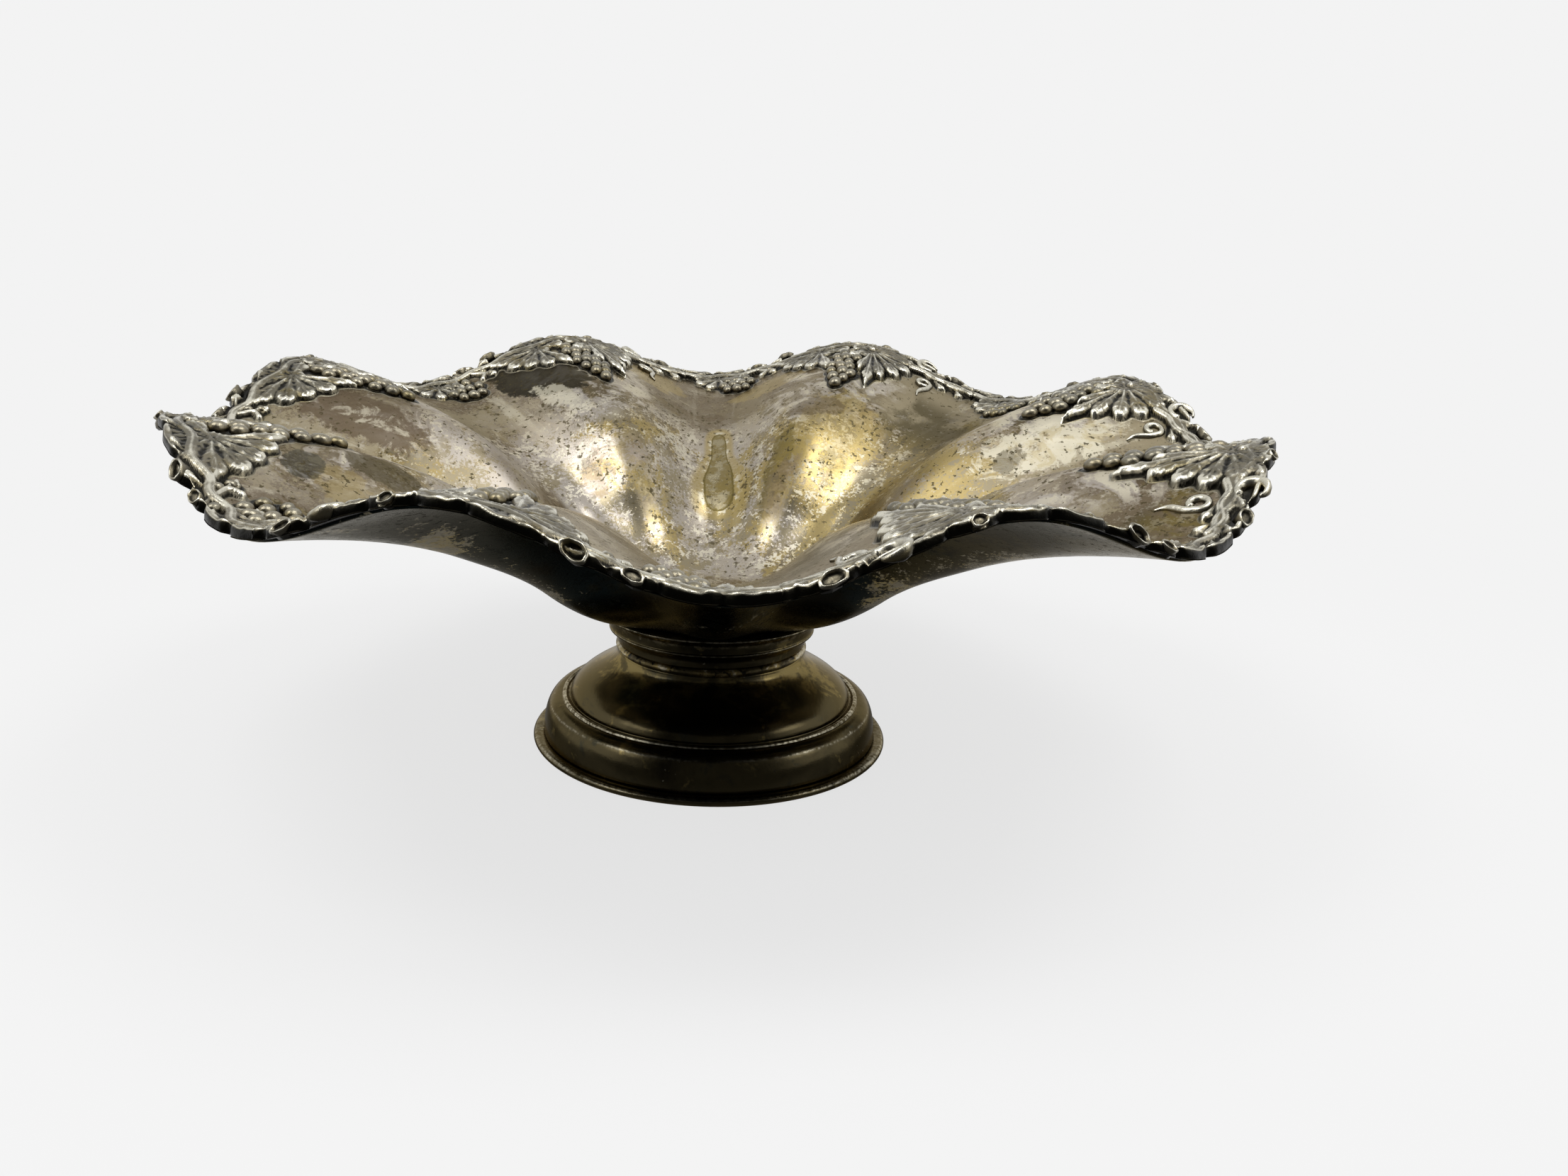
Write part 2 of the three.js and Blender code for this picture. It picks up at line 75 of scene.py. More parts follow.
# Leaves: the heart where the veins meet, the leaf's height, and its lobes as the tip's place (along the
# rim, inward), the lobe's width and how round its tip is.
LEAVES = (
    {
        "heart": (-14, 8), "rise": 1.7,
        "lobes": (
            (-32, 5, 10, 1), (-29, 14, 10, 1), (-23, 20, 9.5, 1), (-15, 25, 9, 1), (-6, 28, 8, 0.4),
            (-25, -2, 10, 0.8), (-17, -3, 10, 0.8), (-8, -3, 10, 0.8), (-2, 4, 9, 1),
        ),
    },
    {
        "heart": (8, 7), "rise": 2.2,
        "lobes": (
            (25, 3, 9.5, 1), (26.5, 11.5, 9, 1), (24.5, 19.5, 8.5, 1), (20, 27, 8, 0.8),
            (17.5, 37.5, 7.5, 0.1), (9.5, 27, 7.5, 0.3), (0, 14, 8, 0.4), (-1, 2, 9, 0.8),
            (5, -3, 9, 0.8), (13, -3.2, 10, 0.8), (21, -2.5, 10, 0.8),
        ),
    },
    {
        "heart": (-57, 6), "rise": 1.5,
        "lobes": (
            (-67.5, 3.5, 7, 1), (-67, 10.5, 7, 1), (-61.5, 16, 7, 1), (-54, 16.5, 7, 1), (-47, 11, 7, 1),
            (-47, 4, 7, 1), (-64, -2.8, 7.5, 0.8), (-57, -3, 7.5, 0.8), (-50, -2.8, 7.5, 0.8),
        ),
    },
)

# Bunches of grapes: the middle line from its first to its last row, half the width of the bunch,
# the distance between grapes and their radius.
BUNCHES = (
    {"first": (1.5, 10.5), "last": (5, 48.5), "half_width": 10.2, "pitch": 4.5, "radius": 2.5},
    {"first": (-49.5, 8), "last": (-48.5, 25), "half_width": 7.6, "pitch": 4.1, "radius": 2.25},
)
GRAPE_SCATTER = 0.5
GRAPE_SEED = 5

# A grape of radius 1: its shape, how far it is turned by chance, and where it is cut off below.
GRAPE_OVAL = (0.95, 1.2, 0.85)
GRAPE_TWIST = 0.45
GRAPE_TWIST_SEED = 3
GRAPE_BASE = -0.45
GRAPE_SEGMENTS = 10
GRAPE_RINGS = 7

# Grapes that lie by themselves: place and radius.
LOOSE_GRAPES = (
    (-0.5, 6.5, 1.7), (3.5, 3.5, 1.7), (-45.5, 0.5, 1.9),
    (35.5, 4.5, 1.6), (-34.5, 8.5, 1.6), (-36, 4.5, 1.8),
)

# Branches: points along them, radius, and depth of the grooves in their bark.
BRANCHES = (
    {
        "radius": 1.8, "bark": 0.12, "round_the_rim": True,
        "path": (
            (-71, 1.5), (-64, 3), (-56, 0.5), (-48, 3.5), (-40, 1.5), (-33, 3.5), (-24, 1.2),
            (-14, 3.2), (-4, 0.8), (6, 3), (15, 1), (24, 3.4), (33, 2), (42, 3.6),
        ),
    },
    {"radius": 1.9, "bark": 0.22, "path": ((25, 5.5), (30, 3.8), (36, 4.4), (43, 2), (50, 2.8))},
    {"radius": 1.3, "bark": 0.15, "path": ((-44, 2), (-48, 5), (-49, 9))},
    {"radius": 1.3, "bark": 0.15, "path": ((3, 2), (3.5, 6), (2.5, 10))},
    {"radius": 1.3, "bark": 0.15, "path": ((-36, 2), (-30, 6), (-22, 7))},
    {"radius": 1.1, "bark": 0.1, "path": ((-44, -1), (-40, 3), (-37, 7), (-39, 10))},
)
BARK_GROOVES = 5.2
BRANCH_LIFT = 0.7

# Small leaves and buds along the vine: root, tip, width and height.
SPRIGS = (
    ((-37, 1), (-31, -2.5), 4.5, 2.7), ((-38, 5), (-33, 11), 4.5, 1.5), ((-47, 0), (-52, -2.6), 4, 2.6),
    ((-22, 0), (-16, -2.8), 4.5, 2.8), ((-10, 1), (-3, -2.6), 4.5, 2.8), ((2, 1), (9, 5), 4.5, 2.9),
    ((16, 0), (23, -2.6), 4.5, 2.8), ((30, 3), (37, -1.5), 4.5, 2.6), ((44, 2), (49, -2.4), 4.5, 2.6),
    ((43, 4), (48, 8), 4.5, 1.6), ((33, 5.5), (41, 8), 4, 1.5), ((-68, 1), (-62, -2.4), 4.5, 2.5),
)

# Cut branch ends: place along the rim and inward, radius, stretch along the rim, tilt (degrees), and how
# deep the end is hollowed.
CUT_ENDS = (
    {"place": (-42, -3.2), "radius": 1.7, "stretch": 1.35, "tilt": 46, "hollow": 0.3},
    {"place": (-30.5, -4.2), "radius": 2.4, "stretch": 1.2, "tilt": 30, "hollow": 1.6},
    {"place": (11, -3.8), "radius": 1.5, "stretch": 1.3, "tilt": 40, "hollow": 0.3},
    {"place": (41, -3.2), "radius": 2.0, "stretch": 1.5, "tilt": 44, "hollow": 0.6},
)
CUT_END_RISE = 2.1
CUT_END_SIDES = 24

# Swells and grooves of the outer edge: place along the rim, reach outward and spread.
EDGE_SWELLS = (
    (-66, 0.2, 3), (-59.5, -1.3, 1.6), (-52, 0.4, 3), (-46.5, -1.5, 1.4), (-36, -1.9, 2.0),
    (-30.5, 1.2, 2.5), (-23, -1.5, 1.8), (-14, 0.6, 4), (-7, -1.2, 1.3), (-1, 0.6, 3), (5, -1.4, 2.0),
    (11, 0.8, 3), (17, -1.2, 1.2), (23, 0.4, 2.5), (34.5, -2.0, 2.2), (48, -1.2, 1.5),
)

# Outer wall of a casting: share of its height, how far it lies inside its fullest line, and its brightness:
# pale at its foot, dark up the wall as painted shade, a little lighter at the top.
WALL_SECTION = ((0.0, 0.3, 0.8), (0.08, 0.12, 0.6), (0.16, 0.0, 0.0), (0.72, 0.0, 0.0), (0.92, 0.1, 0.2))
EDGE_ROUNDING = 0.3
# The top row of the outer edge is made bright: a painted highlight with rubbed wear.
EDGE_HIGHLIGHT = 0.85

# Heights of the relief: the band under it, the bed of the grapes, what counts as no relief, the least
# thickness of the slab and the least that is kept of it.
BAND_RISE = 1.1
MOUND = 0.5
OUTSIDE = -1.0
SLAB_LEAST = 0.05
KEPT_LEAST = 0.06

# Unevenness of the relief: how many cells wide its lumps are and how strong.
RELIEF_SEED = 11
SWELLS = (4, 6)
CHIPS = (1, 1.2)
RAGGED_LIP = (2, 2.2)
CRUMPLE = (3, 2.2)
STIPPLE = (1, 1)

# Where the lip at the outer edge sets in and is full, and where it is made bright: a painted highlight with
# rubbed wear.
LIP = (1.0, 2.2)
BRIGHT_LIP = (1.4, 2.4)

# Round wires laid on the border: the circle they follow on the rolled-out rim with its ends in degrees, its
# height and climb, the wire's own radius, and how tall the curl is. The tendril runs on into a tail.
CURL = {"centre": (29, -1.3), "radius": 3.6, "ends": (45, 318), "height": 1.3, "climb": 0.6}
CURL_WIRE = 1.15
CURL_STRETCH = 1.7
TENDRIL = {"centre": (33, 11), "radius": 2.5, "ends": (-325, 0), "height": 0.65, "climb": -0.4}
TENDRIL_WIRE = 1.05
TENDRIL_TAIL = ((35.5, 11.4), (35.6, 14), (34.7, 16.8), (34.3, 19.3), (35.3, 22))
TAIL_HEIGHT = 0.25
CIRCLE_STEPS = 28
WIRE_SIDES = 8
# Wires are painted lighter on their upper side and darker below: painted highlight and shade.
WIRE_HIGHLIGHT = 0.9

# Section of a cut end: share of its radius, distance along its axis, the share of the hollow's depth that
# is taken off that distance, and how bright it is made.
CUT_END_SECTION = (
    (0.0, -3.0, 0, 0.0), (0.86, -3.0, 0, 0.1), (0.92, -1.4, 0, 0.25), (1.02, -0.7, 0, 0.4),
    (1.06, -0.2, 0, 0.65), (1.0, 0.15, 0, 0.95), (0.88, 0.2, 0, 0.9), (0.78, 0.0, 0, 0.5),
    (0.7, -0.2, 0.5, 0.12), (0.6, -0.25, 0.9, 0.05), (0.3, -0.15, 1, 0.35), (0.0, -0.1, 1, 0.4),
)

# Stains on the sheet: the middle of the oval, half its length and width, its turn (degrees), the colour,
# how strong it is and how unbroken.
STAINS = (
    ((-0.067, 0.114), 0.023, 0.012, -23, "black", 0.9, 0.8),
    ((-0.057, 0.097), 0.017, 0.005, -40, "pale", 0.6, 0.4),
    ((0.001, 0.124), 0.030, 0.017, 0, "brown", 0.55, 0.5),
    ((-0.022, 0.137), 0.014, 0.010, 0, "gold", 0.5, 0.5),
    ((0.025, 0.131), 0.016, 0.009, 0, "gold", 0.5, 0.5),
    ((0.045, 0.083), 0.022, 0.013, 60, "gold", 0.55, 0.5),
    ((0.039, 0.091), 0.011, 0.006, 0, "brown", 0.6, 0.5),
    ((0.024, 0.066), 0.017, 0.005, 70, "olive", 0.75, 0.5),
    ((-0.041, 0.063), 0.009, 0.007, 90, "brown", 0.65, 0.42),
    ((0.043, 0.065), 0.008, 0.005, 70, "olive", 0.5, 0.38),
    ((-0.117, 0.029), 0.023, 0.010, -14, "brown", 0.85, 0.6),
    ((-0.113, 0.030), 0.016, 0.005, -14, "pale", 0.5, 0.22),
    ((-0.095, -0.049), 0.011, 0.007, 0, "umber", 0.75, 0.7),
    ((-0.101, -0.066), 0.008, 0.008, 0, "gold", 0.35, 0.4),
    ((-0.112, -0.064), 0.005, 0.007, 0, "blue", 0.55, 0.7),
    ((0.112, 0.026), 0.026, 0.011, 10, "pale", 0.8, 0.4),
    ((0.116, 0.026), 0.020, 0.009, 10, "gold", 0.4, 0.25),
    ((0.098, 0.022), 0.006, 0.004, 30, "umber", 0.6, 0.5),
)

# Where the noises lie that break up the stains.
CURD_SHIFTS = (40.0, 43.7, 47.4)

# Zones of the sheet by distance inward from its edge: where each one sets in and where it dies away.
FLANGE = ((0.015, 0.03), (0.07, 0.05))
CREST = ((0.012, 0.03), (0.075, 0.055))
WALL = ((0.07, 0.085), (0.122, 0.108))
SIDES = ((0.03, 0.05), (0.12, 0.105))
WELL = (0.04, 0.075)

# Zones of the sheet by distance sideways from its middle: where each one sets in and is full.
# PALE_ENDS marks where the underside is painted pale as a reflection.
PALE_ENDS = (0.1, 0.13)
DULL_ENDS = (0.05, 0.068)
LEAN_FADE = (0.11, 0.07)
LEAN_REACH = 0.05

# How fine the streaks of the sheet are round the bowl and outward.
STREAK_ROUND = 0.09
STREAK_OUT = 0.12

# The long drop-shaped stain behind: its middle inward, half its length, its place in X, and half its width
# at its outer end, how much wider it is at the other, and where in Y it sets in.
DROP_MIDDLE = 0.084
DROP_HALF_LENGTH = 0.0235
DROP_PLACE = 0.003
DROP_HALF_WIDTH = 0.0028
DROP_WIDENING = 0.0026
DROP_BEHIND = (0.02, 0.05)

# Heights on the foot: the gold shoulder of the bell, and the collar under the bowl.
SHOULDER = ((0.02, 0.027), (0.034, 0.032))
UNDER_BOWL = (0.0405, 0.0425)

# Tint of the mirrored light at a low angle.
SHEET_TINT = (0.85, 0.8, 0.7)
FOOT_TINT = (0.75, 0.68, 0.56)

# Fitted camera: the turn round the bowl, distance from its axis, height, dip, roll, shift and sensor.
CAMERA_TURN = math.radians(-1.27)
CAMERA_DISTANCE = 434.07 * MM
CAMERA_HEIGHT = 179.2 * MM
CAMERA_DIP = 0.2869
CAMERA_ROLL = 0.0268
CAMERA_SHIFT = (0.0455, -0.0012)
CAMERA_NEAR = 0.01
SENSOR_WIDTH = 36

# Lamps: place, width, and the setting that holds their power. They all face one point in the bowl.
LAMPS = {
    "left_softbox": ((-0.38, -0.16, 0.95), 0.42, "softbox_power"),
    "right_softbox": ((0.4, -0.08, 0.96), 0.42, "softbox_power"),
    "left_lamp": ((-1.0, -0.5, 0.7), 0.5, "side_power"),
    "right_lamp": ((1.0, -0.4, 0.7), 0.5, "side_power"),
}
LAMP_AIM = (0, 0, 0.06)

# The floor: its size, where the bowl and the room shade what it mirrors, and where it melts into the
# background. The room: how far up it leans and where it begins.
FLOOR_SIZE = 8
FRONT_SHADE = (0.0, -0.07)
NEAR_SHADE = (0.2, 0.09)
FLOOR_FADE = (0.12, 0.5)
ROOM_LEAN = 0.2
ROOM_EDGE = (0.3, 0.85)


def length(name, description, millimetres):
    """A length that a user may change."""
    return FloatProperty(
        name=name, description=description, default=millimetres * MM, unit="LENGTH", precision=5
    )


def angle(name, description, degrees):
    """An angle that a user may change."""
    return FloatProperty(
        name=name, description=description, default=math.radians(degrees), subtype="ANGLE"
    )


def count(name, description, default, least):
    """A whole number that a user may change."""
    return IntProperty(name=name, description=description, default=default, min=least)


def level(name, description, default, **limits):
    """A strength that a user may change."""
    return FloatProperty(name=name, description=description, default=default, **limits)


def colour(name, description, *shade):
    """A colour that a user may change."""
    return FloatVectorProperty(
        name=name, description=description, default=shade, subtype="COLOR", size=3, min=0, max=1
    )


class SheetSizes(bpy.types.PropertyGroup):
    """Sizes of the fluted sheet."""

    thickness: length("Sheet", "Thickness of the sheet", 1)
    floor_radius: length("Floor radius", "Radius of the flat floor", 26)
    heel_reach: length("Heel reach", "How far the floor runs on towards the wall", 18)
    wall_rise: length("Wall rise", "Height of the wall over the floor", 19.6)
    wall_angle: angle("Wall angle", "Slope of the wall", 45)
    rim_radius: length("Rim radius", "Radius of the sheet's edge", 160)
    rim_rise: length("Rim rise", "Height of the edge over the floor", 57.5)
    rim_angle: angle("Rim angle", "Slope of the flange at its edge", 6.8)
    flutes: count("Flutes", "Number of channels round the bowl", len(CASTINGS), 3)
    flute_depth: length("Flute depth", "Height of a ridge over the even sheet", 8)
    flute_full_radius: length("Flute full radius", "Radius at which the flutes reach their depth", 95)
    columns: count("Columns", "Mesh columns round the bowl", 384, 24)
    rows: count("Rows", "Mesh rows from the middle to the edge", 96, 8)


class BorderSizes(bpy.types.PropertyGroup):
    """Sizes of the grapevine border."""

    overhang: length("Overhang", "How far the castings reach past the sheet", 3.2)
    edge_rise: length("Edge rise", "Height of the castings' outer wall", 2.5)
    bury: length("Seat", "How deep the castings are let into the sheet", 0.35)
    step: length("Step", "Distance between the points of the relief", 0.38)
    reach: length("Reach", "How far the castings reach in from the edge", 52)


class FootSizes(bpy.types.PropertyGroup):
    """Sizes of the foot, its wire, the waist bead and the collar."""

    wall: length("Wall", "Thickness of the spun foot and the collar", 1.4)
    wire_draw_in: length("Wire draw-in", "How far the wire's flats lie inside its middle", 1)
    wire_lip: length("Wire lip", "How far the wire reaches in past the foot's wall", 1.6)
    toe_setback: length("Toe setback", "How far the foot's toe lies inside the wire's edge", 2.5)
    ovolo_height: length("Ovolo height", "Height of the foot's lower moulding", 12)
    ovolo_width: length("Ovolo width", "Width of the foot's lower moulding", 5.9)
    bead_radius: length("Ledge bead", "Radius of the fine bead on the ledge", 0.9)
    ledge_step: length("Ledge step", "Flat between the fine bead and the bell", 1)
    bell_swell: length("Bell swell", "How full the bell is below", 8)
    waist_radius: length("Waist radius", "Radius of the waist", 30.2)
    waist_sweep: length("Waist sweep", "How far the bell draws up into the waist", 6.5)
    waist_bead_proud: length("Waist bead", "How far the waist bead stands out", 0.9)
    waist_bead_width: length("Waist bead width", "Width of the waist bead's ring", 2.6)
    collar_flare: length("Collar flare", "How far the collar widens to its top", 6.3)
    collar_flange: length("Collar flange", "How far the collar's seat reaches in", 8.8)
    fillet_height: length("Fillet height", "Height of the fillets between the collar's coves", 0.8)
    facets: count("Facets", "Mesh columns round the turned pieces", 192, 24)


class PlateColours(bpy.types.PropertyGroup):
    """Colours of the worn and tarnished plate."""

    # Silver is the bright plate and also the colour of the castings' painted highlights.
    silver_and_highlight: colour("Silver", "Plate that is rubbed bright", 0.78, 0.75, 0.63)
    pale: colour("Pale", "Worn freckles and edges", 0.60, 0.56, 0.44)
    taupe: colour("Taupe", "Light even tarnish", 0.275, 0.235, 0.155)
    grey: colour("Grey", "Dull plate of the castings", 0.15, 0.137, 0.102)
    brown: colour("Brown", "Older tarnish", 0.115, 0.085, 0.055)
    gold: colour("Gold", "Straw and gold stains", 0.36, 0.275, 0.105)
    lilac: colour("Lilac", "Milky grey-lilac bloom", 0.42, 0.385, 0.35)
    olive: colour("Olive", "Deep olive stains", 0.15, 0.115, 0.036)
    umber: colour("Umber", "Dark brown film of the foot", 0.076, 0.062, 0.032)
    black: colour("Black", "Black tarnish", 0.012, 0.011, 0.008)
    blue: colour("Blue", "Blue-black tarnish", 0.011, 0.021, 0.024)


class StageSettings(bpy.types.PropertyGroup):
    """Floor, background and lamps."""

    paper: level("Paper", "Brightness of floor and background", 0.896, min=0, max=1)
    fill: level("Fill", "Strength of the even light", 0.55, min=0)
    room: level("Room", "Brightness of the room in front, as a share", 0.09, min=0, max=1)
    softbox_power: level("Softbox", "Power of each overhead softbox", 3.2, unit="POWER")
    side_power: level("Side lamp", "Power of the side lamps", 1.2, unit="POWER")
    lens: level("Lens", "Focal length of the camera in millimetres", 32.084, unit="CAMERA")


def math_operator(operation, swapped=False):
    """A Python operator that adds a Math node; its reflected form has the two values swapped."""
    if swapped:
        return lambda self, other: self.math(operation, other, self)
    return lambda self, *others: self.math(operation, self, *others)


class Wire:
    """An output socket that takes part in Python expressions by adding Math nodes to its graph."""

    def __init__(self, graph, socket):
        self.graph = graph
        self.socket = socket

    def math(self, operation, *values):
        return self.graph.node("ShaderNodeMath", {"operation": operation}, dict(enumerate(values)))

    __add__ = math_operator("ADD")
    __radd__ = math_operator("ADD", swapped=True)
    __sub__ = math_operator("SUBTRACT")
    __rsub__ = math_operator("SUBTRACT", swapped=True)
    __mul__ = math_operator("MULTIPLY")
    __rmul__ = math_operator("MULTIPLY", swapped=True)
    __truediv__ = math_operator("DIVIDE")
    __rtruediv__ = math_operator("DIVIDE", swapped=True)
    __pow__ = math_operator("POWER")
    __gt__ = math_operator("GREATER_THAN")
    __abs__ = math_operator("ABSOLUTE")
    sine = math_operator("SINE")
    cosine = math_operator("COSINE")
    at_least = math_operator("MAXIMUM")
    at_most = math_operator("MINIMUM")

    def between(self, low, high):
        """Rises smoothly from 0 at low to 1 at high."""
        return self.graph.node(
            "ShaderNodeMapRange",
            {"interpolation_type": "SMOOTHSTEP"},
            {"Value": self, "From Min": low, "From Max": high},
        )

    def within(self, rising, falling):
        """Rises to 1 over the first pair of values and falls from it over the second."""
        return self.between(*rising) * self.between(*falling)

    def output(self, name):
        """Another output of the same node."""
        return Wire(self.graph, self.socket.node.outputs[name])


class Graph:
    """A node tree, with one method that adds nodes to it by type, settings and sockets."""

    def __init__(self, tree):
        self.tree = tree

    def node(self, kind, settings=None, sockets=None, output=0):
        made = self.tree.nodes.new(kind)
        for name, value in (settings or {}).items():
            setattr(made, name, value)
        for name, value in (sockets or {}).items():
            self.feed(made.inputs[name], value)
        return Wire(self, made.outputs[output])

    def feed(self, socket, value):
        """Links a wire to an input, or sets the input's value."""
        if isinstance(value, Wire):
            self.tree.links.new(value.socket, socket)
        else:
            socket.default_value = value

    def split(self, vector):
        """The X, Y and Z of a vector."""
        parts = self.node("ShaderNodeSeparateXYZ", None, {0: vector})
        return parts, parts.output("Y"), parts.output("Z")

    def combine(self, x, y, z):
        """A vector from its X, Y and Z."""
        return self.node("ShaderNodeCombineXYZ", None, {"X": x, "Y": y, "Z": z})


class GeometryGraph(Graph):
    """A Geometry Nodes tree with named inputs."""

    def __init__(self, name, inputs, outputs):
        super().__init__(bpy.data.node_groups.new(name, "GeometryNodeTree"))
        for side, sockets in (("INPUT", inputs), ("OUTPUT", outputs)):
            for socket_name, kind in sockets:
                self.tree.interface.new_socket(socket_name, in_out=side, socket_type=kind)
        self.source = self.tree.nodes.new("NodeGroupInput")
        self.sink = self.tree.nodes.new("NodeGroupOutput")

    def input(self, name):
        return Wire(self, self.source.outputs[name])

    def finish(self, **outputs):
        for name, wire in outputs.items():
            self.feed(self.sink.inputs[name], wire)
        return self.tree

    def vector(self, operation, first, second):
        """Vector arithmetic."""
        return self.node("ShaderNodeVectorMath", {"operation": operation}, {0: first, 1: second})

    def store(self, geometry, name, value, kind="FLOAT"):
        """Keeps a value on every point under a name that the tree or a material reads."""
        return self.node(
            "GeometryNodeStoreNamedAttribute",
            {"data_type": kind, "domain": "POINT"},
            {"Geometry": geometry, "Name": name, "Value": value},
        )

    def stored(self, name, kind="FLOAT"):
        """A value that was kept under a name."""
        return self.node("GeometryNodeInputNamedAttribute", {"data_type": kind}, {"Name": name})

    def place(self):
        """Where each point is."""
        return self.node("GeometryNodeInputPosition")

    def moved(self, geometry, place):
        """The geometry with its points at another place."""
        return self.node("GeometryNodeSetPosition", None, {"Geometry": geometry, "Position": place})

    def welded(self, geometry, distance):
        """The geometry with points that lie together made one."""
        return self.node("GeometryNodeMergeByDistance", None, {"Geometry": geometry, "Distance": distance})

    def join(self, *geometries):
        """All the geometries as one, the last of them first."""
        joined = self.tree.nodes.new("GeometryNodeJoinGeometry")
        for geometry in geometries:
            self.feed(joined.inputs[0], geometry)
        return Wire(self, joined.outputs[0])

    def dressed(self, geometry, material):
        """The end of a tree: smooth shading, real meshes and the material."""
        smooth = self.node("GeometryNodeSetShadeSmooth", None, {"Geometry": geometry})
        real = self.node("GeometryNodeRealizeInstances", None, {"Geometry": smooth})
        return self.node("GeometryNodeSetMaterial", None, {"Geometry": real, "Material": material})


class Finish(Graph):
    """A material: one Principled shader and the patterns that feed it."""

    def __init__(self, name, tint=None):
        self.material = bpy.data.materials.new(name)
        self.material.use_nodes = True
        super().__init__(self.material.node_tree)
        self.shader = self.tree.nodes["Principled BSDF"]
        self.place = self.node("ShaderNodeTexCoord", output="Object")
        if tint:
            self.shader.inputs["Specular Tint"].default_value = (*tint, 1)

    def axes(self):
        return self.split(self.place)

    def noise(self, scale, detail, roughness, vector=None, shift=0.0, distortion=0.0):
        """Clouds of a size in metres of 1 / scale, 0 to 1."""
        moved = self.node(
            "ShaderNodeMapping",
            None,
            {"Vector": vector or self.place, "Location": (shift, shift * 0.7, shift * 0.3)},
        )
        sockets = {"Vector": moved, "Scale": scale, "Detail": detail}
        sockets.update({"Roughness": roughness, "Distortion": distortion})
        return self.node("ShaderNodeTexNoise", {"noise_dimensions": "3D"}, sockets)

    def attribute(self, name):
        return self.node("ShaderNodeAttribute", {"attribute_name": name}, output="Fac")

    def blend(self, first, second, share):
        """First colour to second colour by a share."""
        shades = [shade if isinstance(shade, Wire) else (*shade, 1) for shade in (first, second)]
        sockets = {0: share, 6: shades[0], 7: shades[1]}
        return self.node("ShaderNodeMix", {"data_type": "RGBA"}, sockets, output=2)

    def coats(self, base, *layers):
        """A base colour under layers, each a colour and its share."""
        for shade, share in layers:
            base = self.blend(base, shade, share)
        return base

    def spot(self, centre, half_length, half_width, turn):
        """Squared distance from an oval seen from above, 1 on its outline; its turn in degrees."""
        x, y, _ = self.axes()
        run = math.cos(math.radians(turn))
        rise = math.sin(math.radians(turn))
        along = ((x - centre[0]) * run + (y - centre[1]) * rise) / half_length
        across = ((y - centre[1]) * run - (x - centre[0]) * rise) / half_width
        return along * along + across * across

    def close(self, base, roughness, height, bump_distance, metallic=1.0):
        """Feeds the shader and gives the material back."""
        bump = self.node(
            "ShaderNodeBump", None, {"Strength": 1.0, "Distance": bump_distance, "Height": height}
        )
        feeds = {"Base Color": base, "Roughness": roughness, "Normal": bump, "Metallic": metallic}
        for name, value in feeds.items():
            self.feed(self.shader.inputs[name], value)
        return self.material


def sheet_patterns(g):
    """Places and noises that the sheet's colours share."""
    x, y, _ = g.axes()
    radius = (x * x + y * y) ** 0.5
    round_scale = STREAK_ROUND / radius
    round_the_bowl = g.combine(x * round_scale, y * round_scale, radius * STREAK_OUT)
    p = SimpleNamespace(x=x, y=y, radius=radius)
    p.inward = g.attribute("inward")
    p.wave = g.attribute("wave")
    p.upper = g.attribute("upper")
    p.clouds = g.noise(17, 5, 0.6)
    p.patches = g.noise(42, 7, 0.62, shift=3.1, distortion=0.5)
    p.flecks = g.noise(210, 6, 0.7, shift=7.7)
    p.grain = g.noise(950, 4, 0.65, shift=0.4)
    p.streaks = g.noise(170, 5, 0.65, vector=round_the_bowl, shift=1.7)
    p.ragged = (p.flecks - 0.5) * 0.4 + (p.grain - 0.5) * 0.45
    p.swirl = g.noise(34, 6, 0.6, shift=20.3, distortion=2.4) + p.ragged * 0.25
    p.well = p.inward.between(*WELL)
    p.film = (p.clouds * 0.55 + p.patches * 0.45 + p.ragged * 0.6).between(0.48, 0.54)
    p.lace = (p.flecks + (p.grain - 0.5) * 0.6 + (p.clouds - 0.5) * 0.4).between(0.57, 0.61)
    p.lace = p.lace * (p.well * 0.75 + 0.2)
    p.seam = (p.ragged * 0.6 + (p.clouds - 0.5) * 0.6 - p.wave).between(0.7, 1.05)
    p.seam = p.seam * (p.inward.within(*WALL) * p.upper)
    p.freckles = (g.noise(520, 3, 0.6, shift=5.2) + p.patches * 0.3).between(0.76, 0.79)
    return p


def film_coats(g, colours, p):
    """Coats of the upper face: film, streaks, smoke, swirls on the crests, gold, bloom and lace."""
    bloom = g.noise(31, 6, 0.62, shift=12.5)
    deep = (p.patches + p.ragged * 0.3).between(0.58, 0.66) * (0.85 - p.well * 0.5)
    worn = (p.streaks + p.ragged * 0.5).between(0.56, 0.66)
    smoke = (g.noise(24, 4, 0.5, shift=31.7) + p.ragged * 0.2).between(0.54, 0.62)
    crest = p.wave.between(0.3, -0.5) * p.inward.within(*CREST)
    lean = p.x.at_least(-LEAN_REACH).at_most(LEAN_REACH) * abs(p.x).between(*LEAN_FADE)
    golden = (p.streaks * 0.45 + p.patches * 0.55 + p.ragged + lean * 0.7).between(0.47, 0.53)
    milky = (bloom + p.ragged - lean * 0.9).between(0.51, 0.55) * (p.well * 0.75 + 0.15)
    return [
        (colours.brown, p.film * (0.8 - p.well * 0.35)),
        (colours.olive, deep),
        (colours.pale, worn * 0.4),
        (colours.umber, smoke * p.inward.within(*FLANGE) * 0.85),
        (colours.brown, p.swirl.within((0.4, 0.45), (0.52, 0.47)) * crest * 0.6),
        (colours.lilac, p.swirl.between(0.49, 0.54) * crest * 0.75),
        (colours.pale, p.swirl.between(0.55, 0.6) * crest * 0.8),
        (colours.gold, golden * p.well * 0.75),
        (colours.lilac, milky * 0.85),
        (colours.pale, p.lace * 0.75),
    ]


